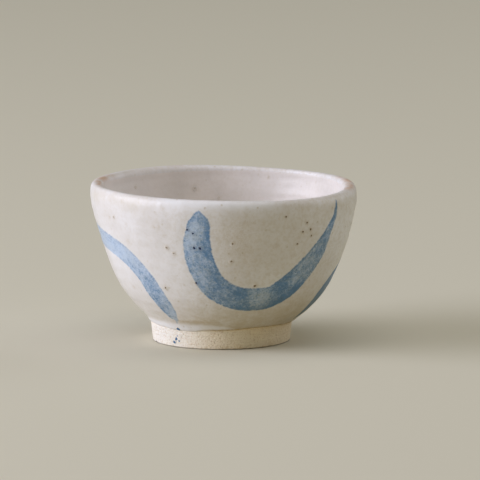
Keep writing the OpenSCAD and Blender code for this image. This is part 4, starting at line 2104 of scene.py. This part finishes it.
LEFT_STROKE = Stroke(
    rows=(
        (-36.6, 0.048, 0.02), (-35.6, 0.086, 0.07), (-35.2, 0.116, 0.26), (-36.0, 0.143, 0.44),
        (-37.3, 0.217, 0.68), (-40.6, 0.351, 0.82), (-45.5, 0.487, 0.77), (-53.5, 0.592, 0.78),
        (-63.5, 0.649, 0.75), (-79.0, 0.686, 0.76), (-90.0, 0.702, 0.80), (-106.0, 0.70, 0.84),
        (-122.0, 0.665, 0.90), (-136.0, 0.57, 0.96), (-145.0, 0.45, 0.92), (-149.5, 0.35, 0.66),
        (-151.0, 0.30, 0.03),
    ),
    load=0.13,
    pools=(
        (0.0, 0.0, 0.04, 1.5, -0.3), (0.07, 0.75, 0.03, 0.6, 0.4), (0.15, 0.1, 0.08, 1.3, 0.42),
        (0.26, 0.5, 0.03, 0.4, 0.15), (0.42, -0.7, 0.08, 0.4, 0.1),
        (0.5, 0.5, 0.04, 0.4, 0.15), (0.85, 0.3, 0.12, 0.8, 0.25),
    ),
)
RIGHT_STROKE = Stroke(
    rows=(
        (63.4, 0.063, 0.05), (65.6, 0.114, 0.42), (68.1, 0.196, 0.76), (69.8, 0.289, 0.90),
        (75.4, 0.380, 0.95), (87.0, 0.46, 0.94), (97.0, 0.55, 0.97), (108.0, 0.65, 0.97),
        (119.0, 0.755, 0.86), (130.0, 0.84, 0.64), (138.5, 0.885, 0.34), (143.0, 0.90, 0.03),
    ),
    load=1.25,
    pools=(
        (0.1, 0.5, 0.1, 0.8, 0.3), (0.45, -0.2, 0.1, 0.5, -0.25), (0.7, 0.5, 0.08, 0.5, 0.2),
    ),
)
# Iron specks outside: azimuth, share of the way up the wall, share of the largest diameter
SPECK_SHARES = (
    (-13.5, 0.711, 1.10), (-10.9, 0.710, 1.20), (-15.7, 0.834, 0.85), (-13.3, 0.812, 0.80),
    (-14.3, 0.460, 0.95), (27.8, 0.932, 0.75), (38.8, 0.883, 0.90), (41.2, 0.834, 0.95),
    (37.0, 0.821, 0.80), (42.1, 0.788, 0.75), (34.6, 0.738, 0.80), (15.3, 0.445, 0.95),
    (79.4, 0.792, 0.85), (-96.0, 0.450, 0.80), (-118.0, 0.380, 0.95), (-131.0, 0.880, 0.75),
    (-164.0, 0.700, 1.00), (-171.0, 0.520, 0.80), (176.0, 0.840, 0.90), (168.0, 0.350, 0.85),
    (159.0, 0.640, 0.70), (122.0, 0.420, 0.95), (109.0, 0.890, 0.75), (147.0, 0.560, 0.80),
    (101.0, 0.250, 0.70),
)
# Weaker iron specks outside, in the same terms
WEAK_SPECKS = (
    (-23.9, 0.662, 0.85), (-27.0, 0.699, 1.00), (-32.2, 0.405, 1.00), (-56.2, 0.855, 0.75),
    (4.1, 0.749, 1.00), (3.3, 0.625, 1.00),
)
# Iron specks inside: azimuth, millimetres below the lip's inner edge, share of the largest diameter
INSIDE_SPECKS = (
    (193.9, 4.9, 0.95), (227.7, 3.1, 0.6), (182.2, 7.7, 0.55), (158.1, 1.6, 0.5), (115.7, 9.0, 0.6),
    (40.0, 14.0, 0.8), (-60.0, 22.0, 0.7), (95.0, 31.0, 0.6), (-20.0, 8.0, 0.6),
)
# Weak brown stains with no speck, and one wide patch of painted shade: azimuth, share up the wall, diameter,
# strength
FAINT_STAINS_AND_SHADE = (
    (11.5, 0.899, 1.2 * MM, 0.4), (13.6, 0.895, 0.9 * MM, 0.35), (9.3, 0.895, 0.9 * MM, 0.35),
    (13.1, 0.847, 1.0 * MM, 0.3), (32.4, 0.846, 1.1 * MM, 0.4), (35.5, 0.782, 1.0 * MM, 0.35),
    (24.2, 0.731, 1.3 * MM, 0.4), (32.5, 0.653, 1.2 * MM, 0.35), (9.5, 0.611, 1.1 * MM, 0.3),
    (11.5, 0.54, 0.9 * MM, 0.3), (-58.2, 0.368, 1.0 * MM, 0.3), (-47.7, 0.824, 0.8 * MM, 0.25),
    (-26.9, 0.963, 1.1 * MM, 0.3), (-48.8, 0.976, 1.0 * MM, 0.3), (63.6, 0.766, 1.3 * MM, 0.35),
    (-150.0, 0.8, 1.2 * MM, 0.35), (140.0, 0.4, 1.3 * MM, 0.35), (-105.0, 0.3, 1.1 * MM, 0.3),
    (-60.1, 0.845, 0.9 * MM, 0.35), (-32.2, 0.834, 1.1 * MM, 0.25), (-29.1, 0.836, 1.0 * MM, 0.3),
    (-26.9, 0.78, 1.1 * MM, 0.3), (-49.6, 0.699, 1.5 * MM, 0.25), (-56.3, 0.683, 0.7 * MM, 0.45),
    # The wide patch at 6.3 degrees is painted shade: a darker zone on the front wall, right of the blue arm.
    (6.3, 0.775, 9.0 * MM, 0.32), (46.0, 0.2, 15.0 * MM, 0.3),
)
# The stain round each speck: its diameter by the speck's share, outside and inside, and its strength
HALO_D = 1.2 * MM
INSIDE_HALO_D = 1.4 * MM
HALO_STRENGTH = 0.55
# Drops on the foot: azimuth, share of the foot's height, share of the largest diameter
SPLASH_SHARES = (
    (-36.6, 1.010, 0.88), (-40.1, 0.45, 0.75), (-42.4, 0.25, 0.80), (-37.2, 0.355, 0.50),
    (-38.9, 0.62, 0.35),
)


def corners(box: tuple) -> list[list[float]]:
    """Two corners of a box as plain lists of numbers."""
    return [list(corner) for corner in box]


def halos(form: CupForm) -> Rows:
    """Rows of the stains round all specks, whose ways inside are given as shares of the wall too.

    Args:
        form: Form that measures the ways.

    Returns:
        The rows, in the terms of FAINT_STAINS_AND_SHADE.
    """
    outside = tuple((a, s, d * HALO_D, HALO_STRENGTH) for a, s, d in SPECK_SHARES + WEAK_SPECKS)
    return outside + tuple(
        (a, (form.lip_end + w * MM) / form.wall_way, d * INSIDE_HALO_D, HALO_STRENGTH)
        for a, w, d in INSIDE_SPECKS
    )


def main() -> None:
    """Builds the cup's pieces and the studio."""
    logging.basicConfig(level=logging.INFO, format="%(message)s")
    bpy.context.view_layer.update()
    form = CupForm(CupSizes.from_frame(), OutlineShares(), HandMarks())
    coats = Coats(form, Stains(halos(form) + FAINT_STAINS_AND_SHADE))
    foot = TurnedFoot(form)
    dresser = Dresser()
    glaze, iron, blue, clay = GlazeFinish(), IronFinish(), BlueFinish(), ClayFinish()
    ClayBody(form).build(dresser, clay)
    foot.build(dresser, clay)
    coats.build(dresser, glaze, iron)
    for name, stroke, slot in (
        ("front_sweep", FRONT_STROKE, Slot.FRONT_BLUE),
        ("left_sweep", LEFT_STROKE, Slot.LEFT_BLUE),
        ("right_sweep", RIGHT_STROKE, Slot.RIGHT_BLUE),
    ):
        BrushSweep(name + "_blue", name, slot, stroke, coats).build(dresser, glaze, iron, blue)
    specks = IronSpecks(coats, FRONT_STROKE, SPECK_SHARES, WEAK_SPECKS, INSIDE_SPECKS)
    specks.build(dresser, glaze, iron, blue)
    FootSplashes(foot, coats, SPLASH_SHARES).build(dresser, clay, SPLASH_BLUE)
    Studio().build()


if __name__ == "__main__":
    main()
